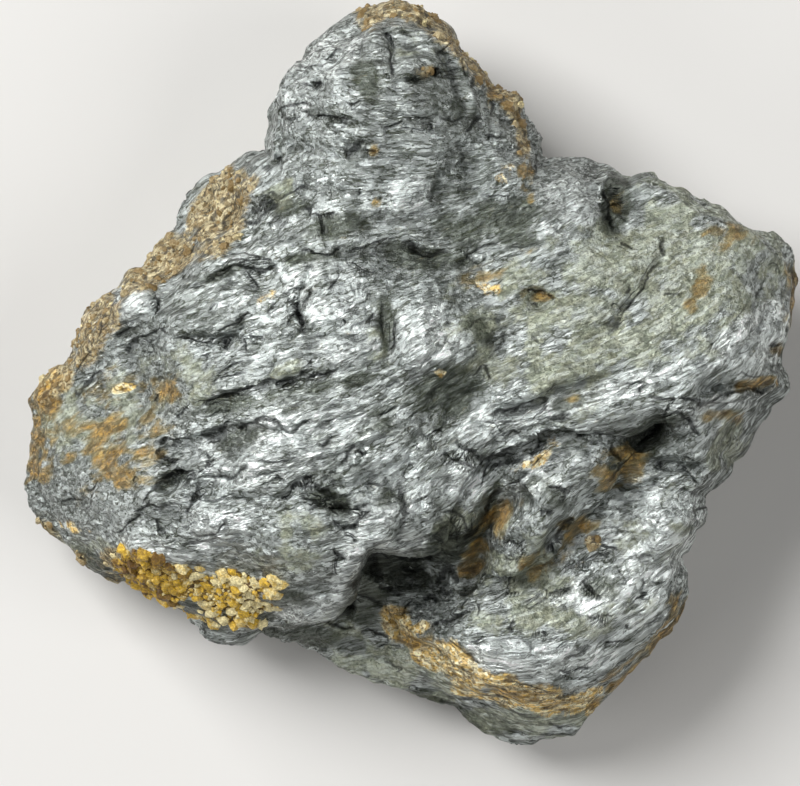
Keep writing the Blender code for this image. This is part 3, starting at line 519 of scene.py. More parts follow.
# %% Grooves above the middle
UPPER_GROOVES = [
    (3.0, 1.0, 160, 298, 161, 308, 162, 316, 162, 322), (2.0, 0.6, 145, 288, 152, 286, 160, 284, 168, 287),
    (1.6, 0.9, 138, 341, 148, 339, 158, 335, 168, 331, 176, 333),
    (1.5, 0.8, 178, 337, 188, 337, 200, 341, 212, 343, 222, 343), (3.0, 0.9, 128, 354, 134, 348, 140, 342),
    (1.5, 0.7, 118, 330, 126, 327, 134, 324, 142, 322), (2.0, 0.6, 118, 339, 128, 335, 136, 330),
    (1.5, 0.5, 140, 352, 150, 354, 158, 351, 164, 345, 168, 339),
    (1.6, 0.8, 104, 345, 106, 336, 109, 325, 113, 312, 118, 300, 121, 290),
    (1.5, 0.7, 78, 378, 84, 370, 90, 360, 98, 352), (2.5, 0.9, 88, 388, 95, 383, 101, 376, 106, 371),
    (1.5, 0.6, 190, 292, 200, 290, 210, 286, 220, 280), (1.5, 0.6, 196, 288, 206, 282, 216, 276),
    (1.5, 0.6, 212, 315, 218, 308, 222, 305), (2.5, 0.7, 208, 356, 211, 358),
    (1.6, 0.7, 222, 268, 232, 262, 244, 261, 256, 262, 268, 261, 278, 262),
    (2.0, 0.8, 200, 290, 214, 280, 226, 275, 238, 268, 250, 268, 262, 271, 274, 268, 286, 264),
    (3.0, 0.9, 302, 254, 310, 252, 320, 256, 330, 258, 338, 252, 344, 246),
    (2.0, 0.7, 322, 222, 325, 230, 326, 236), (1.5, 0.6, 345, 252, 356, 250, 368, 248, 380, 243, 394, 241),
    (1.8, 0.7, 345, 267, 354, 267, 362, 272, 370, 276, 380, 274),
    (1.5, 0.8, 252, 272, 254, 279, 258, 284, 262, 290),
    (1.6, 0.9, 316, 266, 315, 274, 310, 282, 304, 288, 296, 290, 288, 292),
    (3.0, 1.0, 303, 290, 303, 300, 302, 312, 304, 322, 306, 336), (1.6, 0.7, 306, 308, 311, 300, 314, 292),
    (1.5, 0.8, 288, 325, 294, 321, 300, 316), (1.5, 0.7, 298, 296, 297, 304, 300, 310),
    (1.5, 0.9, 222, 334, 230, 329, 240, 324, 250, 320), (1.5, 0.9, 238, 321, 246, 318, 253, 312),
    (3.5, 1.0, 229, 350, 231, 344, 236, 341), (1.5, 0.7, 244, 338, 248, 345, 250, 352),
    (1.6, 0.7, 250, 335, 258, 338, 266, 338), (1.6, 0.6, 330, 292, 336, 285, 340, 279, 338, 272),
    (1.5, 0.7, 344, 320, 348, 327), (1.8, 0.6, 350, 332, 360, 326, 370, 319, 380, 314),
    (3.0, 0.9, 300, 377, 310, 375, 320, 376, 330, 373, 340, 370), (2.0, 0.9, 278, 387, 290, 383, 300, 382),
    (2.0, 0.8, 312, 362, 316, 363), (3.0, 0.9, 225, 397, 238, 395, 252, 392, 262, 388),
    (1.5, 0.6, 215, 388, 224, 382, 236, 376, 250, 372), (1.5, 0.6, 222, 378, 230, 370, 238, 365, 250, 362),
    (1.5, 0.6, 268, 314, 274, 310, 278, 304), (1.5, 0.6, 290, 300, 294, 306, 300, 312),
    (2.5, 0.5, 382, 300, 384, 315, 384, 330, 386, 345), (1.6, 0.7, 395, 320, 396, 332, 394, 345, 390, 355),
    (1.5, 0.4, 340, 382, 350, 384, 362, 387, 376, 390), (1.6, 0.6, 283, 390, 295, 388, 306, 386),
    (2.5, 0.7, 376, 418, 384, 416, 390, 412, 398, 405), (2.5, 0.6, 385, 390, 392, 386, 398, 380)]

# %% Grooves of the middle
MIDDLE_GROOVES = [
    (3.5, 0.7, 402, 250, 410, 246, 416, 252, 424, 254, 434, 255, 444, 252, 452, 254),
    (2.0, 0.6, 455, 262, 464, 262, 472, 255, 482, 250, 490, 245, 502, 243),
    (2.0, 0.5, 467, 334, 472, 328, 478, 322, 484, 320, 494, 322, 502, 324),
    (2.0, 0.45, 502, 332, 500, 345, 496, 352, 490, 358, 486, 364),
    (2.5, 0.8, 484, 366, 486, 374, 489, 382), (1.6, 0.6, 470, 378, 478, 372, 483, 366),
    (3.0, 1.0, 522, 292, 530, 290, 538, 294, 546, 293), (3.0, 1.0, 546, 297, 553, 300),
    (2.0, 0.8, 530, 304, 538, 306), (2.0, 0.5, 530, 338, 538, 344),
    (1.5, 0.4, 452, 338, 446, 346, 440, 356, 430, 364, 418, 372, 408, 376),
    (3.5, 1.0, 491, 419, 498, 413, 508, 411, 518, 408, 528, 403, 538, 401, 547, 402),
    (1.5, 0.7, 546, 396, 550, 390, 553, 385), (1.5, 0.7, 530, 422, 534, 415, 540, 410, 546, 404),
    (1.5, 0.6, 540, 418, 550, 417, 560, 417, 572, 416), (1.5, 0.6, 480, 423, 492, 423, 504, 424, 516, 423),
    (1.5, 0.5, 495, 421, 497, 428, 502, 434, 508, 440), (1.5, 0.5, 503, 440, 512, 434, 520, 437, 528, 436),
    (2.0, 0.7, 535, 440, 543, 435, 552, 432, 562, 432), (3.0, 1.0, 572, 440, 580, 437, 590, 431, 600, 428),
    (4.0, 0.9, 455, 446, 462, 448, 470, 452, 480, 456, 492, 457, 505, 454, 515, 450),
    (3.0, 0.9, 440, 452, 446, 456, 452, 460, 460, 463, 470, 463), (2.0, 0.6, 441, 460, 443, 468),
    (1.5, 0.6, 485, 462, 487, 470, 484, 478, 480, 488, 476, 494),
    (2.5, 0.6, 488, 472, 498, 470, 510, 466, 520, 462), (3.0, 0.9, 422, 440, 430, 434, 438, 432, 444, 436),
    (5.0, 1.0, 500, 492, 494, 500, 489, 510, 484, 520, 476, 527, 470, 536, 466, 548),
    (3.5, 1.0, 436, 512, 446, 512, 456, 514, 464, 522, 466, 534),
    (1.5, 0.6, 440, 520, 452, 522, 458, 532, 460, 545, 456, 558), (1.5, 0.6, 444, 528, 450, 532, 454, 542),
    (2.5, 0.8, 425, 540, 432, 532, 438, 524), (4.0, 0.9, 405, 562, 414, 568, 424, 564, 432, 566),
    (1.6, 0.7, 505, 492, 512, 487, 520, 482, 528, 478), (1.6, 0.7, 528, 455, 534, 448, 538, 443),
    (1.5, 0.7, 531, 472, 536, 466, 542, 458, 550, 455), (2.5, 0.8, 544, 484, 552, 488, 560, 492, 568, 498),
    (3.0, 0.8, 536, 516, 544, 515, 553, 517), (2.5, 0.9, 572, 522, 568, 530, 562, 540, 556, 550, 548, 558),
    (1.6, 0.7, 500, 548, 508, 545, 516, 548, 524, 545), (1.5, 0.6, 502, 556, 510, 562, 518, 560, 524, 553),
    (2.0, 0.6, 560, 505, 566, 498, 574, 490), (1.6, 0.6, 412, 462, 407, 470, 404, 478, 408, 484),
    (1.5, 0.7, 412, 440, 417, 448, 420, 454), (3.0, 0.8, 430, 540, 436, 530, 440, 520)]

# %% Grooves of the right block
RIGHT_GROOVES = [
    (4.5, 1.0, 680, 413, 668, 418, 661, 426, 655, 434, 646, 441, 637, 447),
    (2.5, 0.8, 580, 434, 590, 432, 600, 431, 612, 432, 626, 434, 640, 434),
    (2.5, 1.0, 640, 397, 655, 398, 670, 397, 690, 401, 712, 398, 732, 392, 742, 389, 752, 392, 762, 394,
     774, 396),
    (2.0, 0.8, 655, 413, 665, 411, 675, 410, 685, 411), (3.0, 0.8, 683, 420, 688, 427, 694, 433, 698, 438),
    (1.5, 0.6, 620, 387, 630, 384, 640, 384, 648, 388), (3.0, 0.6, 632, 390, 638, 393),
    (1.5, 0.7, 664, 400, 662, 408, 656, 414), (3.5, 0.8, 654, 466, 660, 468),
    (2.0, 0.5, 670, 466, 680, 472, 690, 480, 700, 488), (1.6, 0.5, 676, 458, 686, 460, 694, 462),
    (1.6, 0.5, 678, 492, 690, 496, 702, 500), (2.0, 0.8, 695, 514, 700, 510, 705, 505),
    (3.0, 0.8, 764, 348, 770, 344, 778, 344), (2.0, 0.6, 764, 372, 770, 374, 776, 378),
    (1.6, 0.5, 735, 372, 742, 376, 752, 378, 760, 374),
    (1.5, 0.4, 680, 374, 690, 366, 700, 360, 716, 336, 724, 330), (4.0, 0.5, 742, 425, 735, 435, 730, 445),
    (2.5, 0.7, 606, 480, 612, 470, 620, 462, 630, 456), (4.0, 0.8, 606, 449, 612, 456, 618, 462),
    (3.0, 0.8, 603, 184, 606, 199, 607, 214, 611, 232), (2.0, 0.7, 618, 240, 624, 246, 632, 250),
    (2.5, 0.7, 662, 236, 658, 246, 660, 256),
    (1.8, 0.9, 658, 260, 650, 272, 643, 280, 640, 288, 634, 297, 628, 304, 622, 312, 617, 322, 606, 336),
    (2.5, 0.8, 646, 278, 640, 288), (3.0, 0.8, 628, 288, 622, 296), (2.0, 0.7, 606, 308, 613, 304),
    (2.5, 0.5, 600, 325, 612, 326, 618, 318), (3.0, 0.5, 650, 197, 658, 195),
    (3.0, 0.7, 784, 262, 786, 280, 788, 295, 786, 310, 788, 325),
    (1.5, 0.4, 735, 330, 745, 315, 752, 300, 762, 285), (1.5, 0.4, 722, 335, 732, 318, 742, 300),
    (1.5, 0.4, 748, 335, 757, 322, 764, 305), (1.5, 0.5, 762, 268, 768, 264, 774, 268, 775, 278),
    (1.6, 0.5, 778, 290, 780, 305, 782, 318), (1.5, 0.5, 680, 298, 672, 297, 664, 295, 658, 297),
    (1.6, 0.6, 688, 508, 691, 518, 691, 530, 690, 542), (1.6, 0.5, 694, 520, 696, 528, 694, 540),
    (1.6, 0.7, 600, 548, 608, 552, 616, 556)]

# %% Grooves of the lower tier
LOWER_GROOVES = [
    (1.6, 0.5, 562, 568, 575, 566, 588, 562, 600, 558, 612, 560), (2.0, 0.5, 562, 572, 578, 572, 590, 570),
    (1.6, 0.5, 615, 570, 622, 578, 624, 590), (1.6, 0.7, 582, 582, 588, 590, 594, 596, 600, 602),
    (2.0, 0.8, 622, 612, 630, 605, 638, 600, 648, 600), (3.0, 0.6, 638, 596, 641, 588, 640, 580),
    (3.0, 0.9, 622, 629, 628, 631), (1.6, 0.7, 600, 645, 612, 645, 622, 642),
    (1.6, 0.5, 640, 628, 648, 626, 656, 622), (1.6, 0.6, 590, 620, 600, 618, 612, 618),
    (1.6, 0.5, 648, 585, 658, 586, 668, 582), (1.6, 0.4, 612, 540, 622, 536, 632, 538),
    (8.0, 1.0, 372, 560, 377, 568, 379, 578, 382, 588), (5.0, 1.0, 385, 560, 400, 562, 412, 566),
    (4.0, 1.0, 380, 592, 392, 594, 402, 598), (2.5, 0.9, 400, 575, 412, 577, 424, 578),
    (3.0, 0.9, 430, 588, 440, 580, 446, 574), (3.0, 0.9, 420, 600, 430, 600, 436, 606),
    (2.5, 0.8, 436, 592, 444, 598, 450, 592), (6.0, 1.0, 350, 606, 352, 612, 354, 618),
    (3.0, 0.8, 358, 604, 372, 606, 382, 612), (2.0, 0.8, 371, 556, 366, 564, 360, 572, 352, 584, 346, 592),
    (1.6, 0.8, 337, 555, 337, 565, 338, 575), (1.6, 0.6, 412, 604, 404, 614, 406, 624),
    (2.5, 1.0, 430, 632, 440, 626, 450, 622, 460, 618, 470, 614),
    (2.0, 0.6, 360, 640, 370, 636, 380, 640, 392, 646), (3.0, 0.9, 320, 628, 332, 632, 345, 633, 358, 632),
    (2.0, 0.7, 385, 665, 395, 668, 405, 672, 398, 677), (1.6, 0.7, 378, 655, 388, 652, 398, 652),
    (1.6, 0.7, 408, 694, 414, 690, 420, 696), (1.8, 0.7, 447, 640, 455, 646, 464, 652, 474, 660, 484, 668),
    (1.5, 0.7, 463, 665, 468, 672, 474, 674), (2.0, 0.6, 440, 700, 452, 706, 466, 708, 478, 706),
    (1.6, 0.6, 456, 610, 452, 618, 460, 622), (1.6, 0.6, 470, 600, 464, 606, 460, 614),
    (1.6, 0.6, 478, 606, 480, 616, 476, 622), (4.0, 0.9, 462, 598, 470, 590, 476, 583, 484, 575),
    (3.0, 0.8, 446, 574, 452, 580, 458, 586), (2.0, 0.6, 480, 580, 492, 580, 503, 583, 512, 587),
    (1.6, 0.7, 505, 596, 513, 597, 520, 595), (1.6, 0.6, 540, 590, 548, 595, 560, 595, 570, 590),
    (1.6, 0.5, 522, 608, 532, 600, 540, 594), (1.6, 0.6, 526, 614, 536, 606, 546, 600),
    (3.0, 0.7, 515, 622, 511, 630, 512, 638), (1.5, 0.6, 470, 645, 480, 644, 485, 640),
    (1.5, 0.6, 530, 640, 540, 636, 548, 640), (1.5, 0.6, 552, 655, 560, 648, 568, 644),
    (5.0, 0.5, 560, 665, 575, 655, 590, 648), (2.0, 0.8, 588, 670, 578, 673, 570, 677),
    (3.0, 0.8, 556, 672, 564, 676, 570, 674), (1.6, 0.8, 500, 680, 515, 683, 530, 688, 545, 694, 560, 697),
    (1.6, 0.6, 585, 620, 592, 622, 600, 625, 605, 632), (2.0, 0.8, 480, 706, 490, 704, 502, 704, 512, 708),
    (2.0, 0.6, 490, 715, 502, 714, 515, 716, 530, 720, 545, 722), (2.5, 0.6, 545, 724, 555, 728, 565, 732)]
GROOVES = TOP_GROOVES + LEFT_GROOVES + UPPER_GROOVES + MIDDLE_GROOVES + RIGHT_GROOVES + LOWER_GROOVES

# %% [markdown]
# ### Tilted faces
# Broken graphite has flat facets, each of which catches the light in its own way. Bumps would be round
# there, so inside an ellipse the ground is tilted: its height grows with the way across, and ends in a
# small ragged step. Noise moves every drawn form a little, so that no border is a plain curve.

# %% Tilted faces: x, y, two radii, turn, tilt in degrees towards the upper side (less than 0: away)
FACES = [
    (330, 62, 50, 26, -50, 12), (300, 95, 22, 14, -60, 12), (337, 101, 24, 8, 12, 16),
    (330, 118, 30, 5, 10, -18), (302, 130, 18, 9, 0, 14), (345, 140, 14, 12, -45, 12),
    (366, 150, 14, 8, -80, -14), (400, 190, 28, 18, -70, 15), (250, 186, 24, 12, 10, 15),
    (278, 205, 26, 6, -25, -18), (283, 236, 20, 13, -30, 14), (325, 195, 12, 8, 0, 14),
    (330, 166, 16, 9, -20, 12), (357, 215, 26, 9, -85, -12), (450, 190, 44, 30, -60, -9),
    (508, 162, 22, 18, -45, 12), (520, 206, 26, 7, 0, -16), (572, 203, 34, 24, -70, 14),
    (538, 228, 14, 12, -45, 16), (420, 256, 42, 7, 8, -10), (330, 257, 40, 6, -5, -8),
    (495, 285, 22, 14, -80, 8), (125, 306, 24, 20, -50, 15), (125, 336, 22, 7, -20, -16),
    (230, 291, 26, 9, -10, 12), (205, 368, 46, 26, -15, 9), (150, 362, 30, 18, -30, 8),
    (275, 312, 24, 20, -40, 13), (335, 342, 46, 20, -15, 15), (352, 292, 24, 16, -60, 12),
    (285, 361, 34, 8, -5, 14), (325, 380, 50, 5, -14, -12), (315, 394, 60, 5, -10, -10),
    (386, 330, 46, 9, -88, -7), (300, 444, 44, 10, -12, 18), (255, 458, 44, 8, -8, 14),
    (350, 432, 40, 7, -18, 14), (190, 461, 15, 9, -20, 16), (154, 456, 10, 8, -45, 14),
    (206, 526, 28, 18, 5, 17), (166, 520, 24, 8, -85, -16), (186, 500, 15, 6, -35, 14),
    (328, 481, 28, 6, 8, -12), (298, 487, 30, 5, -5, -8), (352, 503, 22, 6, 10, -14),
    (120, 520, 22, 13, -70, 12), (148, 554, 34, 11, 14, 17), (180, 568, 20, 9, 10, 14),
    (416, 340, 32, 22, -65, 17), (482, 335, 28, 18, -70, -12), (440, 402, 54, 26, -35, -10),
    (481, 430, 24, 18, -55, 17), (540, 386, 38, 9, -15, 18), (552, 421, 60, 7, -8, 18),
    (612, 411, 48, 7, -14, 16), (690, 378, 22, 8, -18, 16), (750, 346, 36, 13, -42, 19),
    (380, 484, 38, 8, -65, 15), (418, 512, 40, 9, -68, 17), (370, 532, 19, 11, -35, 17),
    (405, 551, 24, 6, 4, 14), (455, 490, 22, 16, -55, 17), (441, 545, 26, 20, -60, -8),
    (480, 522, 30, 9, -62, -18), (562, 466, 28, 12, -50, 15), (522, 527, 20, 13, -35, 14),
    (590, 450, 20, 11, -20, 10), (655, 516, 42, 28, -35, 17), (640, 551, 30, 14, -50, 17),
    (612, 526, 10, 9, -45, 12), (625, 590, 15, 8, -20, 14), (700, 505, 13, 10, -45, 14),
    (720, 430, 26, 22, -45, 11), (490, 611, 24, 15, -30, 13), (560, 621, 50, 20, -10, 8),
    (520, 655, 34, 10, 22, 16), (546, 676, 18, 11, -70, 14), (596, 680, 22, 14, -50, 12),
    (475, 685, 26, 18, -45, 13), (640, 640, 15, 10, -30, 12), (350, 580, 24, 11, -62, 19),
    (310, 616, 34, 9, -8, 16), (360, 655, 30, 9, 20, 12), (700, 300, 60, 40, -40, 5),
    (570, 300, 50, 30, -40, 5)]

# %% Small tilted faces
SMALL_FACES = [
    (155, 458, 9, 7, -40, 20), (188, 463, 14, 8, 5, 18), (125, 520, 12, 10, -60, 18),
    (118, 530, 12, 7, -20, 18), (182, 508, 16, 7, -48, 16), (68, 490, 8, 6, -20, 18),
    (95, 487, 9, 6, -30, 16), (124, 448, 9, 12, 0, 14), (230, 488, 14, 6, -20, 14),
    (345, 428, 26, 6, -12, 18), (393, 440, 10, 10, -30, 17), (384, 476, 14, 9, -60, 18),
    (412, 472, 9, 11, -80, 18), (415, 505, 14, 12, -60, 19), (385, 528, 18, 9, -20, 19),
    (372, 545, 10, 6, -30, 18), (405, 548, 12, 6, 15, 18), (268, 505, 22, 6, 0, 14),
    (132, 305, 14, 14, -40, 16), (100, 368, 6, 10, -30, 16), (62, 383, 14, 5, -25, 18),
    (205, 352, 30, 8, 5, 14), (270, 278, 26, 7, -5, 12), (292, 308, 14, 10, -50, 14),
    (350, 300, 16, 16, -60, 14), (290, 350, 14, 18, -30, 16), (340, 345, 36, 12, -15, 16),
    (310, 385, 30, 4, -18, 16), (478, 410, 14, 10, -20, 17), (480, 432, 18, 9, 0, 18),
    (520, 393, 30, 8, -22, 18), (560, 422, 50, 4, -6, 17), (470, 468, 12, 7, 10, 17),
    (455, 495, 14, 10, -40, 18), (557, 468, 10, 9, -50, 19), (590, 458, 12, 8, -40, 15),
    (515, 530, 9, 8, -60, 15), (685, 372, 14, 8, -35, 18), (750, 345, 26, 14, -20, 19),
    (728, 403, 9, 7, -30, 15), (708, 440, 10, 14, -70, 12), (580, 190, 16, 12, -60, 16),
    (575, 212, 20, 8, -20, 15), (768, 328, 22, 7, -50, 18), (765, 275, 10, 8, -20, 14),
    (697, 508, 9, 7, -60, 19), (612, 525, 12, 5, -15, 16), (640, 550, 22, 12, -40, 16),
    (665, 525, 16, 14, -60, 15), (655, 645, 14, 10, -20, 10), (352, 567, 16, 8, -40, 22),
    (330, 598, 14, 6, -45, 18), (420, 613, 12, 8, -20, 15), (412, 587, 10, 5, 10, 14),
    (470, 612, 8, 12, -50, 12), (500, 645, 20, 6, 5, 17), (513, 655, 14, 5, 10, 18),
    (525, 652, 18, 5, 12, 19), (545, 668, 10, 9, -60, 18), (565, 640, 14, 6, -25, 15),
    (612, 640, 16, 5, -5, 14), (590, 672, 16, 5, -25, 16), (575, 688, 8, 10, -60, 14),
    (330, 48, 16, 7, -28, 20), (305, 68, 16, 6, -40, 18), (290, 92, 14, 8, -40, 17),
    (303, 92, 20, 6, 15, 17), (355, 30, 16, 8, -20, 15), (335, 95, 18, 8, -10, 12),
    (345, 112, 18, 4, 12, 15), (300, 128, 20, 8, 0, 10), (325, 165, 10, 9, -50, 16),
    (390, 22, 8, 6, -30, 14), (413, 195, 12, 16, -60, 17), (465, 150, 8, 12, -60, 12),
    (502, 128, 8, 8, -50, 14), (550, 195, 12, 10, -40, 14), (258, 190, 20, 8, 8, 18),
    (290, 188, 12, 4, -25, 18), (285, 232, 22, 12, -25, 14), (320, 208, 8, 5, -20, 16),
    (230, 232, 10, 14, -60, 12), (210, 262, 14, 8, -40, 13), (245, 257, 24, 4, 0, 12)]
FACE_SHARE = 1.05
FULL_TILT = 20


# %% How far places stray: amount and length of the noise in mm, its layers, its shifts for x and y
FORM_STRAY = (0.5, 5.0, 4, (0, 40))
FACE_STRAY = (1.0, 3.0, 4, (7, 57))
GROOVE_STRAY = (0.22, 1.8, 3, (3, 43))


def ellipse(xy, x, y, long_radius, short_radius, turn):
    """Squared distance from a plan place in its two radii, 1 on the ellipse, and the share of it across."""
    away = xy - plan([(x, y)])
    lean = math.radians(-turn)
    u = (away[:, 0] * math.cos(lean) + away[:, 1] * math.sin(lean)) / (long_radius * UNIT)
    v = (away[:, 1] * math.cos(lean) - away[:, 0] * math.sin(lean)) / (short_radius * UNIT)
    return u * u + v * v, v


def strayed(xy, noise, amount, length, layers, shifts):
    """Places moved sideways by an amount of noise of this length, a different one for x and for y."""
    flat = np.c_[xy, np.zeros(len(xy))] / length
    return xy + amount * np.stack([rough(noise, flat + shift, layers) for shift in shifts], axis=1)

# %% Relief of the top
def top_relief(xy, noise):
    """Height of the top face: a sheet plus steps, folds, lumps and tilts, less the grooves. Also how far
    each place is pushed under a ledge, how deep in which groove it lies, and how its face leans."""
    height = smooth_sheet(TOP_LOBE + LEFT_MASS + MIDDLE + RIGHT_BLOCK + LOWER_TIER, xy)
    push = np.zeros_like(xy)
    there = strayed(xy, noise, *FORM_STRAY)
    for drop, edge, high_reach, low_reach, undercut, *places in LEDGES:
        line = smooth_line(places)
        near = near_line(there, line, 3.5 * max(high_reach, low_reach))
        distance, along, normal = follow(there[near], line)
        step = np.tanh(distance / edge) * taper(along, 0.15)
        reach = np.where(distance > 0, high_reach, low_reach)
        height[near] += 0.5 * drop * step * np.exp(-np.abs(distance) / reach)
        push[near] -= normal * (undercut * step * np.exp(-np.abs(distance) / UNDERCUT_REACH))[:, None]
    for rise, half_width, *places in CREASES:
        line = smooth_line(places)
        near = near_line(there, line, 4 * half_width)
        distance, along, _ = follow(there[near], line)
        height[near] += rise * taper(along, 0.25) * np.exp(-np.abs(distance / half_width) ** 1.5)
    for x, y, long_radius, short_radius, turn, rise in LUMPS:
        height += rise * np.exp(-ellipse(there, x, y, long_radius, short_radius, turn)[0] ** 1.5)
    there = strayed(xy, noise, *FACE_STRAY)
    tone = np.zeros(len(xy))
    for x, y, long_radius, short_radius, turn, tilt in FACES + SMALL_FACES:
        squared, across = ellipse(there, x, y, long_radius, short_radius, turn)
        part = np.exp(-squared ** 2)
        height -= math.tan(math.radians(tilt)) * FACE_SHARE * across * short_radius * UNIT * part
        # tone keeps how far each facet leans to or from the lamp, which the material paints lighter or
        # darker
        tone += part * tilt / FULL_TILT
    there = strayed(xy, noise, *GROOVE_STRAY)
    groove = np.zeros(len(xy))
    side = np.full(len(xy), FAR_SIDE)
    for half_width, strength, *places in GROOVES:
        line = smooth_line(places, 4)
        half = half_width * UNIT * GROOVE_WIDTH
        wide = max(half, GROOVE_GRID)
        near = np.flatnonzero(near_line(there, line, FAR_SIDE * wide))
        distance, along, _ = follow(there[near], line)
        deep = strength * taper(along, 0.18)
        height[near] -= (GROOVE_SLOPE * half + GROOVE_LEAST) * deep * np.exp(-np.abs(distance / wide) ** 1.5)
        seen = deep * np.exp(-np.abs(distance / (2 * wide)) ** 4)
        nearer = (np.abs(distance / half) < np.abs(side[near])) & (seen > 0.02)
        side[near[nearer]] = distance[nearer] / half
        groove[near[nearer]] = seen[nearer]
    return height, push, np.c_[groove, side], np.clip(tone, -1, 1)


# %% [markdown]
# ## One closed surface
# A square grid is pulled over the stone like a sock. Its middle is the top, a ring of it is the rim, its
# border is the edge of the flat patch below, and a fan of triangles closes that patch. This keeps the
# cells nearly even, with no seam and no pole.

# %% Wrap the grid
STEPS = 309
TOP_SHARE = 0.88
SHOULDER_SHARE = 0.19
SHOULDER_START = 0.955
BASE_SHARE = 0.64
LEAST_RISE = 2.0
RISE_BLEND = 0.8


def wrap(square, noise):
    """Places of a square grid (-1 to 1) wrapped round the stone, in mm, how far each is below the rim, and
    the grooves and the lean of faces there.

    The distance from the grid's middle, measured in squares, is the way outwards over the top, round the rim
    and inwards below. The place along each square is the direction from the hub.
    """
    a, b = square.T
    ring = np.maximum(np.abs(a), np.abs(b))
    with np.errstate(divide="ignore", invalid="ignore"):
        wide = np.where(a < 0, math.pi, 0) + math.pi / 4 * b / a
        tall = np.where(b < 0, -1, 1) * math.pi / 2 - math.pi / 4 * a / b
    angle = np.nan_to_num(np.where(np.abs(a) >= np.abs(b), wide, tall))
    angle = (angle + math.pi) % math.tau - math.pi
    radius = round_outline(angle, noise)
    rim = rim_height(angle)

    outward = np.clip(ring / TOP_SHARE, 0, 1)
    turn = np.clip((outward - (1 - SHOULDER_SHARE)) / SHOULDER_SHARE, 0, 1) * math.pi / 2
    inner = np.minimum(outward / (1 - SHOULDER_SHARE), 1) * SHOULDER_START
    below = np.clip((ring - TOP_SHARE) / (1 - TOP_SHARE), 0, 1) * math.pi / 2
    share = inner + (1 - SHOULDER_START) * np.sin(turn) - (1 - BASE_SHARE) * (1 - np.cos(below))
    xy = plan([HUB]) + (share * radius)[:, None] * np.c_[np.cos(angle), np.sin(angle)]

    height, push, groove, tone = top_relief(xy, noise)
    on_top = np.cos(turn) * (ring < TOP_SHARE)
    rise = LEAST_RISE + RISE_BLEND * np.logaddexp(0, (height - rim - LEAST_RISE) / RISE_BLEND)
    z = rim * (1 - np.sin(below)) + rise * on_top
    groove = groove * np.c_[on_top, np.ones(len(on_top))]
    return np.c_[xy + push * on_top[:, None], z], np.sin(below), groove, tone * on_top

# %% Wrap it
side = np.linspace(-1, 1, STEPS + 1)
square = np.stack(np.meshgrid(side, side, indexing="ij"), axis=-1).reshape(-1, 2)
stone, below, groove, tone = wrap(square, ground)
print("wrapped grid:", len(stone), "points")

# %% [markdown]
# ## Breaks below and rough ground
# The underside was broken off the rock: flat breaks, each a sloping plane that what stands beyond it is
# pushed back to. The broad unevenness of the whole stone comes next, pushed out along the surface's
# own direction, so that steep sides get it too.

# %% Underside and rough ground
BREAKS = 22
BREAK_DEPTH = (0.4, 2.6)
BREAK_SHARE = 0.85
ROUGHNESS = [(11.0, 0.9, 2), (4.2, 0.35, 2)]
LAYER_RUN = 13.0
LAYER_THICKNESS = 4.5
LAYER_RELIEF = 1.1
DEEPEST_ROUGHNESS = 0.9
ROUGH_START = 3.0


def grid_normals(points):
    """Outward direction at each grid point: the cross product of the two differences along the grid."""
    block = points.reshape(STEPS + 1, STEPS + 1, 3)
    normal = np.cross(np.gradient(block, axis=0), np.gradient(block, axis=1)).reshape(-1, 3)
    return normal / (np.linalg.norm(normal, axis=1, keepdims=True) + 1e-12)


def break_underside(points, below):
    """Flat breaks below the rim: what stands beyond a sloping plane is pushed back towards it."""
    rng = np.random.default_rng(12)
    for turn in np.linspace(0, math.tau, BREAKS, endpoint=False) + rng.uniform(0, 0.25, BREAKS):
        slope = math.radians(rng.uniform(-62, -28))
        flat = math.cos(slope)
        normal = np.array((math.cos(turn) * flat, math.sin(turn) * flat, math.sin(slope)))
        beyond = points @ normal
        beyond -= beyond.max() - rng.uniform(*BREAK_DEPTH)
        points -= (np.clip(beyond, 0, None) * below)[:, None] * normal * BREAK_SHARE


def clear_of_base(points):
    """0 on the resting patch, 1 from a few millimetres above it."""
    return np.clip(points[:, 2] / ROUGH_START, 0, 1)

# %% Break and roughen
break_underside(stone, below)
normals = grid_normals(stone)
height = sum(rise * rough(ground, stone / length + 9, layers) for length, rise, layers in ROUGHNESS)
lying = stone / (LAYER_RUN, LAYER_RUN, LAYER_THICKNESS)
height += LAYER_RELIEF * (1 - np.abs(normals[:, 2])) * rough(ground, lying + 5, 2)
stone += normals * (np.maximum(height, -DEEPEST_ROUGHNESS) * clear_of_base(stone))[:, None]
print("rough ground in mm:", np.round(height.min(), 2), "to", np.round(height.max(), 2))

# %% [markdown]
# ## The run of the layers
# Graphite splits in thin layers, and their wrinkles run in one direction that turns slowly from place to
# place. Two smooth fields are fitted to directions read at some places: one grows along the wrinkles
# and one across them. Patterns worked out in these two flow round the folds of the stone.

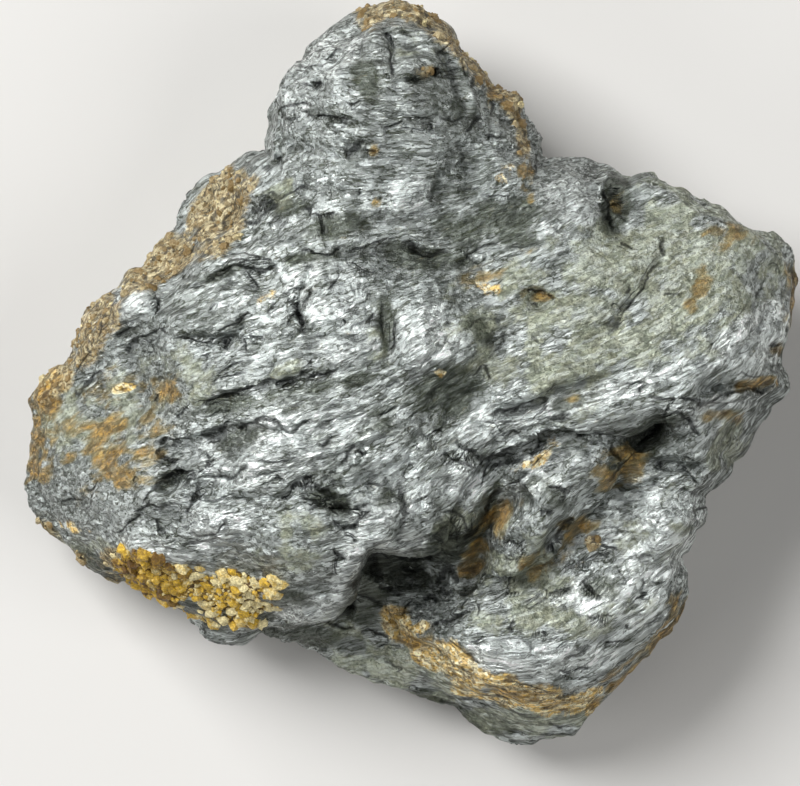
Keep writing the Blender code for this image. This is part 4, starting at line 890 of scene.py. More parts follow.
# %% Flow of the wrinkles
GRAIN = [
    (310, 70, -16), (330, 120, -14), (400, 100, 2), (460, 80, -8), (450, 140, 5), (410, 200, 4),
    (350, 200, 5),
    (270, 185, 25), (240, 240, 25), (300, 240, 12), (150, 290, 25), (200, 330, 20), (300, 330, 22),
    (120, 380, 30), (90, 450, 30), (60, 500, 20), (150, 450, 22), (250, 400, 18), (220, 470, 16),
    (300, 450, 18), (180, 540, 14), (270, 550, 16), (120, 570, -25), (220, 610, -15), (350, 400, 24),
    (330, 500, 24), (400, 290, 26), (400, 350, 33), (450, 320, 32), (430, 420, 38), (480, 380, 34),
    (470, 480, 56), (460, 540, 58), (385, 530, 44), (420, 560, 20), (340, 600, 30), (560, 410, 22),
    (650, 400, 25), (720, 360, 30), (740, 320, 42), (700, 260, 38), (620, 300, 38), (580, 230, 34),
    (520, 250, 22), (660, 200, 20), (540, 330, 30), (540, 470, 40), (560, 540, 50), (520, 540, 50),
    (650, 460, 25), (700, 440, 40), (660, 520, 15), (690, 560, 40), (620, 580, 15), (540, 620, 2),
    (480, 610, -6), (610, 640, 15), (500, 660, -16), (570, 670, -12), (440, 680, -30), (380, 650, -25),
    (520, 720, -8), (600, 710, 25)]
FLOW_SPACING = 9.0
FLOW_WIDTH = 10.0
FLOW_CALM = 0.05

# %% Fit the flow
def fit_flow(across):
    """A smooth field whose slope at each listed place is the unit vector along the grain, or across it.

    The field is a linear part plus one soft hill on each point of a coarse lattice, and the hills'
    weights are the least squares answer, kept small.
    """
    at = plan(GRAIN)
    lean = np.radians([place[2] for place in GRAIN]) + (math.pi / 2 if across else 0)
    wanted = np.concatenate([np.cos(lean), np.sin(lean)])
    ticks = np.arange(-45, 46, FLOW_SPACING)
    seats = np.stack(np.meshgrid(ticks, ticks), axis=-1).reshape(-1, 2)

    def hills(xy):
        """The way from each lattice point, and exp(-r^2 / 2w^2) for each hill."""
        away = xy[:, None] - seats[None]
        return away, np.exp(-(away ** 2).sum(axis=2) / (2 * FLOW_WIDTH ** 2))

    away, hill = hills(at)
    slope = -away / FLOW_WIDTH * hill[..., None]
    ones, zeros = np.ones(len(at)), np.zeros(len(at))
    rows = np.vstack([np.c_[slope[..., 0], ones, zeros], np.c_[slope[..., 1], zeros, ones]])
    calm = FLOW_CALM * np.eye(rows.shape[1])
    wanted = np.concatenate([wanted, np.zeros(len(calm))])
    weights = np.linalg.lstsq(np.vstack([rows, calm]), wanted, rcond=None)[0]

    def field(xy):
        """The weighted hills plus the linear part."""
        return hills(xy)[1] @ weights[:-2] * FLOW_WIDTH + xy @ weights[-2:]

    return field


flow = np.c_[fit_flow(False)(stone[:, :2]), fit_flow(True)(stone[:, :2]), stone[:, 2]]
print("flow field in mm:", np.round(np.ptp(flow, axis=0), 1))

# %% [markdown]
# ## Stains and zones
# Graphite, dull matrix, rust and crust each cover parts of the stone, and two more zones are painted
# highlight and painted shade. Painting them on a picture would need an unwrapped stone, so a zone is
# drawn with soft ellipses and strokes in plan units, made ragged by noise and cut at one half. Below the
# rim the zones come from noise in three dimensions, and the patch that the stone rests on has one even mix.

# %% Blobs of each zone: x, y, two radii in plan units, turn in degrees, strength from 0 to 1
BLOBS = {
    "matrix": [
        (640, 270, 150, 80, -30, 1.0), (600, 350, 90, 50, -30, 0.9), (425, 45, 36, 26, 0, 0.5),
        (560, 612, 80, 26, 0, 1.0), (500, 330, 60, 60, -30, 0.6), (725, 440, 22, 40, 0, 0.9),
        (650, 540, 60, 50, 0, 0.62), (400, 672, 80, 30, 25, 0.9), (520, 728, 90, 16, 0, 0.95),
        (452, 536, 20, 30, 20, 0.75), (90, 420, 60, 50, -30, 0.7), (100, 560, 60, 18, 20, 0.7),
        (300, 190, 40, 20, -20, 0.6), (220, 390, 120, 14, -12, 0.5), (370, 340, 20, 40, 0, 0.5),
        (520, 560, 40, 40, 0, 0.6), (700, 300, 60, 50, -40, 0.9), (190, 372, 60, 34, -15, 0.45),
        (300, 550, 40, 36, 0, 0.5)],
    "rust": [
        (118, 440, 46, 56, 20, 0.62), (100, 455, 18, 24, 0, 0.8), (117, 412, 14, 12, 0, 0.72),
        (172, 395, 18, 12, -20, 0.7), (70, 462, 10, 10, 0, 0.65), (125, 485, 10, 8, 0, 0.65),
        (491, 98, 9, 14, 0, 0.72), (526, 182, 7, 24, -8, 0.78), (378, 206, 6, 5, 0, 0.7),
        (375, 152, 5, 5, 0, 0.7), (570, 400, 10, 5, -10, 0.35), (618, 470, 26, 18, -40, 0.74),
        (583, 528, 16, 9, 0, 0.74), (697, 285, 12, 14, 0, 0.6), (686, 310, 8, 9, 0, 0.64),
        (722, 420, 20, 8, 0, 0.68), (756, 386, 22, 6, -10, 0.72), (537, 298, 15, 8, 0, 0.62),
        (614, 204, 6, 14, 0, 0.5), (722, 237, 34, 15, 0, 0.44), (774, 347, 10, 9, 0, 0.75),
        (545, 704, 66, 12, 8, 0.62), (500, 275, 36, 18, -20, 0.5), (160, 392, 30, 14, -15, 0.6)],
    "crust": [
        (160, 580, 44, 20, 24, 1.0), (232, 602, 46, 26, 8, 1.0), (282, 585, 18, 7, -8, 0.62)],
    "brown": [
        (222, 212, 26, 46, 30, 1.0), (160, 264, 46, 20, -38, 1.0), (98, 330, 20, 42, 30, 0.95),
        (57, 386, 22, 14, -40, 0.9), (508, 104, 12, 20, 20, 0.8), (521, 142, 7, 26, -12, 0.8),
        (422, 72, 13, 8, -15, 0.8), (120, 562, 16, 12, 0, 0.9), (590, 545, 8, 8, 0, 0.8)],
    "vein": [
        (455, 665, 28, 20, 45, 1.0), (472, 690, 20, 17, 0, 1.0), (500, 692, 20, 14, 0, 0.95),
        (540, 704, 36, 13, 12, 1.0), (585, 708, 26, 12, -20, 0.8), (418, 634, 14, 6, -30, 0.8),
        (128, 390, 14, 5, -15, 0.7), (484, 286, 18, 15, 0, 0.55), (506, 175, 14, 12, 0, 0.56),
        (80, 533, 24, 7, 20, 0.62), (440, 375, 6, 4, 30, 0.9)],
    # painted highlight: silver where facets caught the light
    "painted_highlight": [
        (326, 58, 40, 20, -32, 0.85), (300, 100, 24, 18, -30, 0.6), (412, 198, 22, 20, 0, 0.9),
        (137, 303, 24, 18, 0, 0.95), (106, 320, 16, 18, -30, 0.9), (326, 290, 44, 34, 0, 0.7),
        (346, 350, 34, 22, -20, 0.9), (290, 447, 95, 34, -14, 0.8), (212, 530, 34, 24, 0, 1.0),
        (158, 557, 38, 15, 12, 1.0), (425, 342, 34, 34, 0, 0.9), (482, 430, 20, 20, 0, 0.9),
        (514, 414, 26, 12, -12, 0.9), (404, 547, 28, 12, 4, 0.9), (462, 485, 20, 20, 0, 0.85),
        (385, 520, 40, 26, -30, 0.8), (562, 205, 36, 32, 0, 0.9), (750, 338, 42, 28, -38, 1.0),
        (690, 514, 22, 18, -40, 0.9), (600, 395, 110, 12, -16, 0.9), (530, 662, 74, 18, 0, 0.95),
        (650, 540, 52, 46, 0, 0.9), (600, 600, 70, 30, 0, 0.75), (350, 576, 12, 30, 20, 1.0),
        (290, 618, 44, 14, -8, 0.85), (716, 412, 34, 14, -20, 0.9), (540, 475, 40, 20, -45, 0.7)],
    # painted shade: near black where the stone lies in shadow, in cavities and below ledges
    "painted_shade": [
        (440, 402, 62, 30, -35, 0.75), (482, 336, 26, 30, -20, 0.5), (430, 115, 56, 66, 0, 0.45),
        (420, 258, 50, 12, 8, 0.9), (386, 330, 9, 50, 0, 0.8), (455, 180, 40, 48, -20, 0.45),
        (441, 545, 26, 24, 0, 0.9), (482, 520, 14, 34, 25, 0.9), (310, 393, 110, 8, -11, 0.7),
        (335, 505, 30, 14, 10, 0.75), (400, 576, 40, 18, 8, 1.0), (640, 446, 46, 16, -38, 1.0),
        (560, 590, 60, 9, 10, 0.7), (330, 258, 60, 7, -5, 0.8), (230, 272, 50, 6, -20, 0.8),
        (418, 78, 20, 7, -12, 0.7), (180, 478, 40, 8, -35, 0.7), (613, 206, 14, 30, 6, 1.0),
        (490, 228, 64, 26, -8, 0.8), (330, 230, 38, 15, -8, 0.8), (370, 84, 16, 24, -20, 0.75),
        (296, 208, 24, 10, -20, 0.6), (372, 602, 26, 18, 0, 1.0), (290, 600, 28, 8, 8, 0.7),
        (170, 612, 44, 8, 20, 0.7), (247, 403, 44, 9, -10, 0.7), (392, 416, 26, 14, -30, 0.7),
        (546, 482, 18, 14, -40, 0.6), (300, 640, 60, 12, 10, 0.8), (540, 500, 40, 30, -40, 0.5),
        (574, 404, 22, 9, -12, 1.0), (576, 453, 15, 12, 0, 0.9), (598, 588, 26, 10, -20, 0.8),
        (286, 604, 36, 9, 8, 0.9), (242, 444, 30, 11, -28, 0.9), (390, 503, 24, 13, -20, 0.8),
        (306, 408, 30, 9, -10, 0.8), (403, 403, 14, 11, 0, 0.7), (364, 429, 20, 8, -10, 0.7),
        (248, 620, 34, 10, 10, 0.9), (364, 616, 24, 14, 10, 0.9), (470, 724, 60, 10, 20, 0.9)]}

# %% Strokes of some zones: half width in mm, strength from 0 to 1, then x and y of each place
STROKES = {
    "rust": [
        (1.1, 0.68, 519, 492, 497, 515, 480, 550, 473, 572, 464, 598),
        (1.2, 0.78, 385, 605, 396, 622, 410, 642, 430, 655), (1.1, 0.64, 571, 524, 556, 552, 519, 577),
        (1.1, 0.66, 600, 698, 640, 670, 672, 632, 680, 590),
        (1.6, 0.85, 30, 495, 36, 450, 44, 405, 72, 366), (1.0, 0.7, 788, 255, 796, 290, 786, 340)],
    "brown": [
        (1.5, 1.0, 352, 26, 372, 12, 400, 4, 440, 20, 460, 40, 497, 80, 522, 112),
        (0.8, 0.55, 28, 500, 50, 536, 90, 568, 130, 592)],
    "vein": [
        (1.2, 0.9, 385, 605, 405, 640, 440, 668, 500, 698, 560, 712, 610, 704),
        (1.1, 0.55, 500, 490, 530, 466, 565, 440), (0.8, 0.5, 255, 310, 280, 292, 310, 280)],
    # painted shade along the lower left underside
    "painted_shade": [
        (0.9, 1.0, 70, 552, 100, 572, 140, 592, 175, 604, 205, 622, 240, 634)]}

# %% Zones
ZONE_FALL = 0.7
ZONE_GRAIN = 3.2


def zone(blobs, strokes, ragged=0.5, soft=0.38, seed_shift=0.0, length=None):
    """Soft ellipses and strokes, the strongest at each place, plus noise, cut smoothly at one half.

    The noise has one size in all directions, or the given lengths along, across and through the layers.
    """
    xy = stone[:, :2]
    value = np.zeros(len(xy))
    for x, y, long_radius, short_radius, turn, strength in blobs:
        squared = ellipse(xy, x, y, long_radius, short_radius, turn)[0]
        value = np.maximum(value, strength * np.exp(-ZONE_FALL * squared ** 1.3))
    for half_width, strength, *places in strokes:
        line = smooth_line(places)
        near = near_line(xy, line, 3 * half_width)
        distance, along, _ = follow(xy[near], line)
        hill = strength * taper(along, 0.1) * np.exp(-ZONE_FALL * (distance / half_width) ** 2)
        value[near] = np.maximum(value[near], hill)
    place = stone / ZONE_GRAIN if length is None else flow / length
    value += ragged * np.minimum(1, 2 * value) * rough(detail, place + seed_shift, 4)
    return smooth_step(value, 0.5 - soft, 0.5 + soft)

# %% Zones of the whole stone
above = 1 - np.clip(below * 2, 0, 1)
BORDERS = {
    "matrix": {"ragged": 0.8},
    "rust": {"ragged": 0.9, "soft": 0.45, "seed_shift": 11, "length": (4.2, 1.6, 2.4)},
    "crust": {"seed_shift": 23},
    "brown": {"seed_shift": 31},
    "vein": {"seed_shift": 43},
    "painted_highlight": {"seed_shift": 57},
    "painted_shade": {"seed_shift": 67}}
ZONES = {name: zone(BLOBS[name], STROKES.get(name, ()), **words) for name, words in BORDERS.items()}
loose = rough(detail, stone / 7 + 71, 4)
ZONES["matrix"] = np.maximum(ZONES["matrix"] * above, (1 - above) * smooth_step(loose, -0.15, 0.25))
ZONES["rust"] = np.maximum(ZONES["rust"] * above,
                           (1 - above) * 0.8 * smooth_step(rough(detail, stone / 5 + 83, 4), 0.22, 0.5))
for name in ("crust", "brown", "vein", "painted_highlight", "painted_shade"):
    ZONES[name] = ZONES[name] * above
PATCH_ZONES = {"matrix": 0.55, "rust": 0.15}
PATCH_EDGE = (0.9, 0.995)
patch = smooth_step(below, *PATCH_EDGE)
for name in ZONES:
    ZONES[name] = ZONES[name] + (PATCH_ZONES.get(name, 0) - ZONES[name]) * patch
ZONES["matrix"] *= 1 - 0.8 * ZONES["painted_highlight"]
print({name: round(float(value.mean()), 3) for name, value in ZONES.items()})

# %% [markdown]
# ## Wrinkles, steps and facets
# The look of graphite comes from its broken layers: long thin steps across the grain, and crumpled facets
# like foil. Steps are a sawtooth of the field across the grain. Facets are the dishes from above,
# stretched along the grain, at two sizes, with ridges and ripples between them. Dull and crusty zones
# get rounder, rougher ground.

# %% Fine relief
STEP_SPACING = 2.3
SMALL_STEP_SPACING = 0.43 * STEP_SPACING
STEP_RELIEF = 0.24
FACET_RELIEF = 0.20
SMALL_FACET_RELIEF = 0.10
RIDGE_RELIEF = 0.075
RIPPLE_RELIEF = 0.07
LAYER_DIP = 0.9
BEND = 1.3
DULL_SHARE = 0.35
LONG_CELL = 0.42


def sawtooth(phase, fall):
    """Rises slowly from 0 to 1 over each turn of the phase and falls back over the share `fall`."""
    part = phase - np.floor(phase)
    return np.where(part < 1 - fall, part / (1 - fall), (1 - part) / fall)

# %% Steps, facets and ripples
astray = [rough(detail, stone / 3 + shift, 4) for shift in (3, 13)]
bent = flow + BEND * np.c_[astray[0], astray[1], np.zeros(len(stone))]
patchy = smooth_step(rough(detail, flow / (9, 4, 5) + 91, 2), -0.25, 0.35)
across = bent[:, 1] + LAYER_DIP * stone[:, 2]
wide_steps = sawtooth(across / STEP_SPACING + 0.6 * rough(detail, flow / 9, 2), 0.14)
close_steps = sawtooth(across / SMALL_STEP_SPACING + rough(detail, flow / 6 + 7, 2), 0.2)
steps = STEP_RELIEF * (patchy * wide_steps + 0.5 * (1 - 0.6 * patchy) * close_steps)
crumple = FACET_RELIEF * facets(bent / (6.0, 2.4, 2.6), 3, 0.55, 0.35, 1)
crumple += SMALL_FACET_RELIEF * facets(bent / (4.0, 1.1, 1.3) + 9, 5, 0.6, 0.35, 1)
fine = RIDGE_RELIEF * (1 - 2 * np.abs(rough(detail, bent / (6.0, 1.5, 1.7) + 17, 2)))
fine += RIPPLE_RELIEF * rough(detail, bent / (4.0, 0.8, 1.0) + 27, 2)
grainy = 0.30 * rough(detail, stone / 1.5 + 29, 3) + 0.2 * facets(stone / 1.4, 6, 0.7, 0.5, -1)
knobbly = 0.75 * facets(stone / 1.25 + 3, 8, 0.25, 1.0, -1) + 0.4
knobbly += 0.25 * facets(stone / 0.7 + 5, 9, 0.3, 1.0, -1)

# %% Relief of the whole stone
crusty = np.clip(ZONES["crust"] + ZONES["brown"] + 0.6 * ZONES["vein"], 0, 1)
grainy += (knobbly - grainy) * ZONES["crust"]
dulled = DULL_SHARE * ZONES["matrix"]
leafy = (steps + crumple + fine) * (1 - dulled) + dulled * grainy
relief = (1 - crusty) * leafy + crusty * grainy
block = stone.reshape(STEPS + 1, STEPS + 1, 3)
longest = np.maximum(*(np.linalg.norm(np.gradient(block, axis=way), axis=2) for way in (0, 1))).ravel()
relief *= np.clip(LONG_CELL / longest, 0.2, 1) ** 1.5
normals = grid_normals(stone)
stone += normals * (relief * clear_of_base(stone))[:, None]
print("fine relief in mm:", np.round(relief.min(), 2), "to", np.round(relief.max(), 2))

# %% [markdown]
# ## Into a mesh
# The points are set to the imported stone's exact box. Four neighbours on the grid make a face, wound so
# that it faces outwards, and a fan closes the patch. How far each point stands above its
# neighbours is kept too: the material paints shade into the hollows from it.

# %% Build the stone
def fit_box(points):
    """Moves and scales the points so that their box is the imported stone's box."""
    least, most = points.min(axis=0), points.max(axis=0)
    return low + (points - least) * (high - low) / (most - least)


def grid_faces(count):
    """Quads between neighbours of a count by count grid, then a fan over its border to one more point."""
    number = np.arange(count * count).reshape(count, count)
    quads = np.stack([number[:-1, :-1], number[1:, :-1], number[1:, 1:], number[:-1, 1:]], axis=-1)
    border = np.concatenate([number[:-1, 0], number[-1, :-1], number[:0:-1, -1], number[0, :0:-1]])
    fan = np.c_[np.full(len(border), count * count), np.roll(border, -1), border]
    return quads.reshape(-1, 4).tolist() + fan.tolist(), border


def blur(values, rounds):
    """Mean of each grid value with its four neighbours, taken again and again."""
    block = values.reshape(STEPS + 1, STEPS + 1)
    for _ in range(rounds):
        padded = np.pad(block, 1, mode="edge")
        block = (block + padded[:-2, 1:-1] + padded[2:, 1:-1] + padded[1:-1, :-2] + padded[1:-1, 2:]) / 5
    return block.reshape(-1)

# %% Mesh of the stone
stone[:, 2] = np.maximum(stone[:, 2], 0)
smoothed = np.stack([blur(stone[:, k], 12) for k in range(3)], axis=1)
crest = ((stone - smoothed) * grid_normals(smoothed)).sum(axis=1)
# flank marks steep sides, which the material paints darker as painted shade
flank = smooth_step(grid_normals(smoothed)[:, 2], 0.80, 0.35)
crest *= (1 - 0.6 * flank) * (1 - patch)
flank *= 1 - 0.6 * patch
stone = fit_box(stone)
faces, border = grid_faces(STEPS + 1)
points = np.vstack([stone, stone[border].mean(axis=0)])
mesh = bpy.data.meshes.new("graphite_surface")
mesh.from_pydata((points * MM).tolist(), [], faces)
mesh.polygons.foreach_set("use_smooth", np.arange(len(mesh.polygons)) < STEPS ** 2)
mesh.set_sharp_from_angle(angle=math.radians(50))


def keep(name, values, kind="FLOAT"):
    """Stores one value, or one vector, for each point of the stone under a name that its material reads."""
    values = np.reshape(values, (len(stone), -1))
    values = np.vstack([values, values[border].mean(axis=0)])
    mesh.attributes.new(name, kind, "POINT").data.foreach_set(
        "value" if kind == "FLOAT" else "vector", values.astype(np.float32).ravel())

# %% Keep what the finishes read
keep("flow", flow, "FLOAT_VECTOR")
# crest feeds painted shade in the hollows; tone and flank feed painted light and shade
keep("crest", np.clip(0.5 + crest / 0.5, 0, 1))
KEPT = {"groove": groove[:, 0], "side": groove[:, 1], "tone": 0.5 + 0.5 * tone, "flank": flank, **ZONES}
for name, value in KEPT.items():
    keep(name, value)
surface = bpy.data.objects.new("graphite_surface", mesh)
scene.collection.objects.link(surface)
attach(surface, "root")
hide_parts(NODE)
print("triangles:", 2 * STEPS * STEPS + len(border))

# %% [markdown]
# ## Finishes as node groups
# Every finish needs the same few effects: fine lines along the grain, small tilted plates, crumpled foil
# and speckle. Each is a node group with named inputs and outputs, so that each material can set its own
# sizes. A small helper makes the nodes and their links.

# %% Node helpers
def new_group(name, inputs, outputs):
    """An empty node group with float inputs (name: value), vector inputs (value None) and typed outputs."""
    group = bpy.data.node_groups.new(name, "ShaderNodeTree")
    for label, value in inputs.items():
        kind = "NodeSocketVector" if value is None else "NodeSocketFloat"
        socket = group.interface.new_socket(label, in_out="INPUT", socket_type=kind)
        if value is not None:
            socket.default_value = value
    for label, kind in outputs.items():
        group.interface.new_socket(label, in_out="OUTPUT", socket_type=kind)
    return group, group.nodes.new("NodeGroupInput").outputs, group.nodes.new("NodeGroupOutput").inputs


def add(tree, kind, settings=None, **inputs):
    """A node with its settings, and its inputs set to values or linked from sockets."""
    node = tree.nodes.new(kind)
    for label, value in (settings or {}).items():
        setattr(node, label, value)
    for label, value in inputs.items():
        socket = node.inputs[int(label[1:])] if label[0] == "_" else node.inputs[label.replace("_", " ")]
        if isinstance(value, bpy.types.NodeSocket):
            tree.links.new(value, socket)
        else:
            socket.default_value = value
    return node

# %% Steps of arithmetic and colour
def math_node(tree, operation, a, b=0.0, c=0.0):
    """One step of arithmetic, and its result."""
    return add(tree, "ShaderNodeMath", {"operation": operation}, _0=a, _1=b, _2=c).outputs[0]


def vector_node(tree, operation, a, b=(0, 0, 0)):
    """One step of vector arithmetic, and its vector result."""
    return add(tree, "ShaderNodeVectorMath", {"operation": operation}, _0=a, _1=b).outputs["Vector"]


def grade(tree, value, start, end, low_out=0.0, high_out=1.0):
    """A smooth rise from low_out to high_out as the value goes from start to end."""
    return add(tree, "ShaderNodeMapRange", {"interpolation_type": "SMOOTHSTEP"}, _0=value, _1=start, _2=end,
               _3=low_out, _4=high_out).outputs[0]


def mixed(tree, factor, a, b):
    """Colour a where the factor is 0, colour b where it is 1."""
    node = add(tree, "ShaderNodeMix", {"data_type": "RGBA"})
    for socket, value in ((node.inputs[0], factor), (node.inputs[6], a), (node.inputs[7], b)):
        if isinstance(value, bpy.types.NodeSocket):
            tree.links.new(value, socket)
        else:
            socket.default_value = value if isinstance(value, float) else (*value, 1)
    return node.outputs[2]


# %% [markdown]
# ### Grain lines, plates and wrinkles
# Lines along the grain are ridged noise, stretched in the flow field. Plates are small flat leaves, each
# tilted its own way: inside each Voronoi cell the height is a plane through the cell's centre, with a
# slope drawn from the cell's random colour. Wrinkles are noise bent by itself, like crumpled foil.

# %% Group for grain lines
def grain_group():
    """Height of fine lines: ridged noise of the flow, divided by a run and a spacing in millimetres."""
    group, given, result = new_group("grain lines", {"Flow": None, "Run": 3.0, "Spacing": 0.5},
                                     {"Height": "NodeSocketFloat"})
    parts = add(group, "ShaderNodeCombineXYZ", X=given["Run"], Y=given["Spacing"], Z=given["Spacing"])
    stretched = vector_node(group, "DIVIDE", given["Flow"], parts.outputs[0])
    lines = add(group, "ShaderNodeTexNoise", {"noise_type": "RIDGED_MULTIFRACTAL"},
                Vector=stretched, Scale=1.0, Detail=2.0, Roughness=0.55)
    group.links.new(lines.outputs["Fac"], result["Height"])
    return group

# %% Group for tilted plates
def plate_group():
    """Tilted plates: (colour - 0.5) . (place - cell centre) in a swayed Voronoi pattern, with the cell's
    own shade and the way to its edges."""
    group, given, result = new_group(
        "tilted plates", {"Flow": None, "Run": 1.0, "Spacing": 0.5, "Sway": 0.9},
        {"Height": "NodeSocketFloat", "Shade": "NodeSocketFloat", "Edge": "NodeSocketFloat"})
    parts = add(group, "ShaderNodeCombineXYZ", X=given["Run"], Y=given["Spacing"], Z=given["Spacing"])
    stretched = vector_node(group, "DIVIDE", given["Flow"], parts.outputs[0])
    sway = add(group, "ShaderNodeTexNoise", Vector=stretched, Scale=1.3, Detail=1.5, Roughness=0.6)
    amount = add(group, "ShaderNodeCombineXYZ", X=given["Sway"], Y=given["Sway"], Z=given["Sway"])
    offset = vector_node(group, "MULTIPLY", sway.outputs["Color"], amount.outputs[0])
    swayed = vector_node(group, "ADD", stretched, offset)
    cells = add(group, "ShaderNodeTexVoronoi", Vector=swayed, Scale=1.0)
    slope = vector_node(group, "SUBTRACT", cells.outputs["Color"], (0.5, 0.5, 0.5))
    away = vector_node(group, "SUBTRACT", swayed, cells.outputs["Position"])
    plane = add(group, "ShaderNodeVectorMath", {"operation": "DOT_PRODUCT"}, _0=slope, _1=away)
    group.links.new(plane.outputs["Value"], result["Height"])
    tint = add(group, "ShaderNodeSeparateXYZ", Vector=cells.outputs["Color"])
    group.links.new(tint.outputs["X"], result["Shade"])
    edges = add(group, "ShaderNodeTexVoronoi", {"feature": "DISTANCE_TO_EDGE"}, Vector=swayed, Scale=1.0)
    group.links.new(edges.outputs["Distance"], result["Edge"])
    return group

# %% Group for wrinkles
def wrinkle_group():
    """Height of crumpled foil: noise of the flow, bent by itself, divided by a run and a spacing in mm."""
    group, given, result = new_group("wrinkles", {"Flow": None, "Run": 1.5, "Spacing": 0.6},
                                     {"Height": "NodeSocketFloat"})
    parts = add(group, "ShaderNodeCombineXYZ", X=given["Run"], Y=given["Spacing"], Z=given["Spacing"])
    stretched = vector_node(group, "DIVIDE", given["Flow"], parts.outputs[0])
    folds = add(group, "ShaderNodeTexNoise",
                Vector=stretched, Scale=1.0, Detail=2.0, Roughness=0.55, Distortion=1.2)
    group.links.new(folds.outputs["Fac"], result["Height"])
    return group


grain_lines = grain_group()
wrinkles = wrinkle_group()
tilted_plates = plate_group()

# %% [markdown]
# ### Speckle
# Matrix, crust and rust are all made of grains. Speckle is noise of one grain size, cut to a chosen
# share, so one group serves grains of every colour.

# %% Group for speckle
def speckle_group():
    """Mask of grains: noise at the given size in mm, rising from 0 to 1 around the cut."""
    group, given, result = new_group("speckle", {"Place": None, "Size": 0.3, "Cut": 0.55, "Soft": 0.06},
                                     {"Mask": "NodeSocketFloat"})
    parts = add(group, "ShaderNodeCombineXYZ", X=given["Size"], Y=given["Size"], Z=given["Size"])
    scaled = vector_node(group, "DIVIDE", given["Place"], parts.outputs[0])
    grains = add(group, "ShaderNodeTexNoise", Vector=scaled, Scale=1.0, Detail=2.0, Roughness=0.6)
    start = math_node(group, "SUBTRACT", given["Cut"], given["Soft"])
    end = math_node(group, "ADD", given["Cut"], given["Soft"])
    group.links.new(grade(group, grains.outputs["Fac"], start, end), result["Mask"])
    return group


speckle = speckle_group()

# %% [markdown]
# ## The stone's material
# One material covers the whole stone, because its zones run into each other. The zones that were kept on
# the mesh choose the colour, the gloss and the metal share at each place, and finer noise frays their
# borders. Each mineral has a few colours of its own, because no two grains of a stone are alike.

# %% Colours
# The silver is painted highlight and the darkest graphite is painted shade.
HIGHLIGHT_SILVER = (0.90, 0.95, 0.93)
GRAPHITE = (0.56, 0.60, 0.59)
GRAPHITE_DIM = (0.28, 0.305, 0.285)
GRAPHITE_SHADE = (0.085, 0.096, 0.076)
MATRIX = (0.30, 0.34, 0.255)
MATRIX_PALE = (0.65, 0.69, 0.54)
MATRIX_DARK = (0.07, 0.08, 0.052)
OLIVE = (0.27, 0.24, 0.12)
STAIN = (0.36, 0.29, 0.13)
RUST = (0.20, 0.10, 0.016)
RUST_HOT = (0.50, 0.26, 0.02)
RUST_PALE = (0.66, 0.45, 0.10)
RUST_DARK = (0.075, 0.036, 0.008)
CRUST = (0.78, 0.50, 0.04)
CRUST_PALE = (0.95, 0.84, 0.46)
CRUST_DARK = (0.13, 0.065, 0.008)
BROWN = (0.27, 0.19, 0.075)
BROWN_PALE = (0.60, 0.51, 0.30)
BROWN_DARK = (0.05, 0.036, 0.02)
VEIN = (0.82, 0.56, 0.17)
VEIN_PALE = (0.96, 0.86, 0.55)
VEIN_DARK = (0.20, 0.12, 0.035)

# %% [markdown]
# ### Patterns that the finishes share
# Every finish needs the zones with frayed borders, and the plates, folds, grains and pits. They are made
# once and handed on under their names. A groove is a pattern too: it dips and gets painted shade where the
# way to its middle, which was kept on the mesh, is small, and noise moves that way a little, so that it
# looks torn.

# %% Patterns of the stone
FRAYED = (
    ("matrix", "matrix", "lumpy", 1.6, 0.15, 0.85), ("stain", "rust", "leafy", 1.2, 0.10, 0.60),
    ("rust", "rust", "leafy", 1.9, 0.35, 1.2), ("crust", "crust", "lumpy", 1.0, 0.4, 0.6),
    ("brown", "brown", "leafy", 1.5, 0.2, 0.85), ("vein", "vein", "lumpy", 1.4, 0.3, 0.7),
    ("painted_highlight", "painted_highlight", "leafy", 1.0, 0.1, 0.9), ("painted_shade", "painted_shade", "lumpy", 0.8, 0.1, 0.9))
GROOVE_TEAR = 2.6


def use(tree, group, **inputs):
    """Places a node group in a material with its own values."""
    node = tree.nodes.new("ShaderNodeGroup")
    node.node_tree = group
    for label, value in inputs.items():
        if isinstance(value, bpy.types.NodeSocket):
            tree.links.new(value, node.inputs[label])
        else:
            node.inputs[label].default_value = value
    return node.outputs


def in_mm(tree):
    """Object coordinates in millimetres."""
    place = vector_node(tree, "SCALE", add(tree, "ShaderNodeTexCoord").outputs["Object"])
    place.node.inputs["Scale"].default_value = 1 / MM
    return place


def fray(tree, kept, noise):
    """Each zone plus an amount of noise, cut smoothly between two levels, so that its border frays."""
    frayed = {}
    for name, source, kind, amount, start, end in FRAYED:
        pushed = math_node(tree, "SUBTRACT", noise[kind], 0.5)
        pushed = math_node(tree, "MULTIPLY_ADD", pushed, amount, kept[source])
        frayed[name] = grade(tree, pushed, start, end)
    return frayed

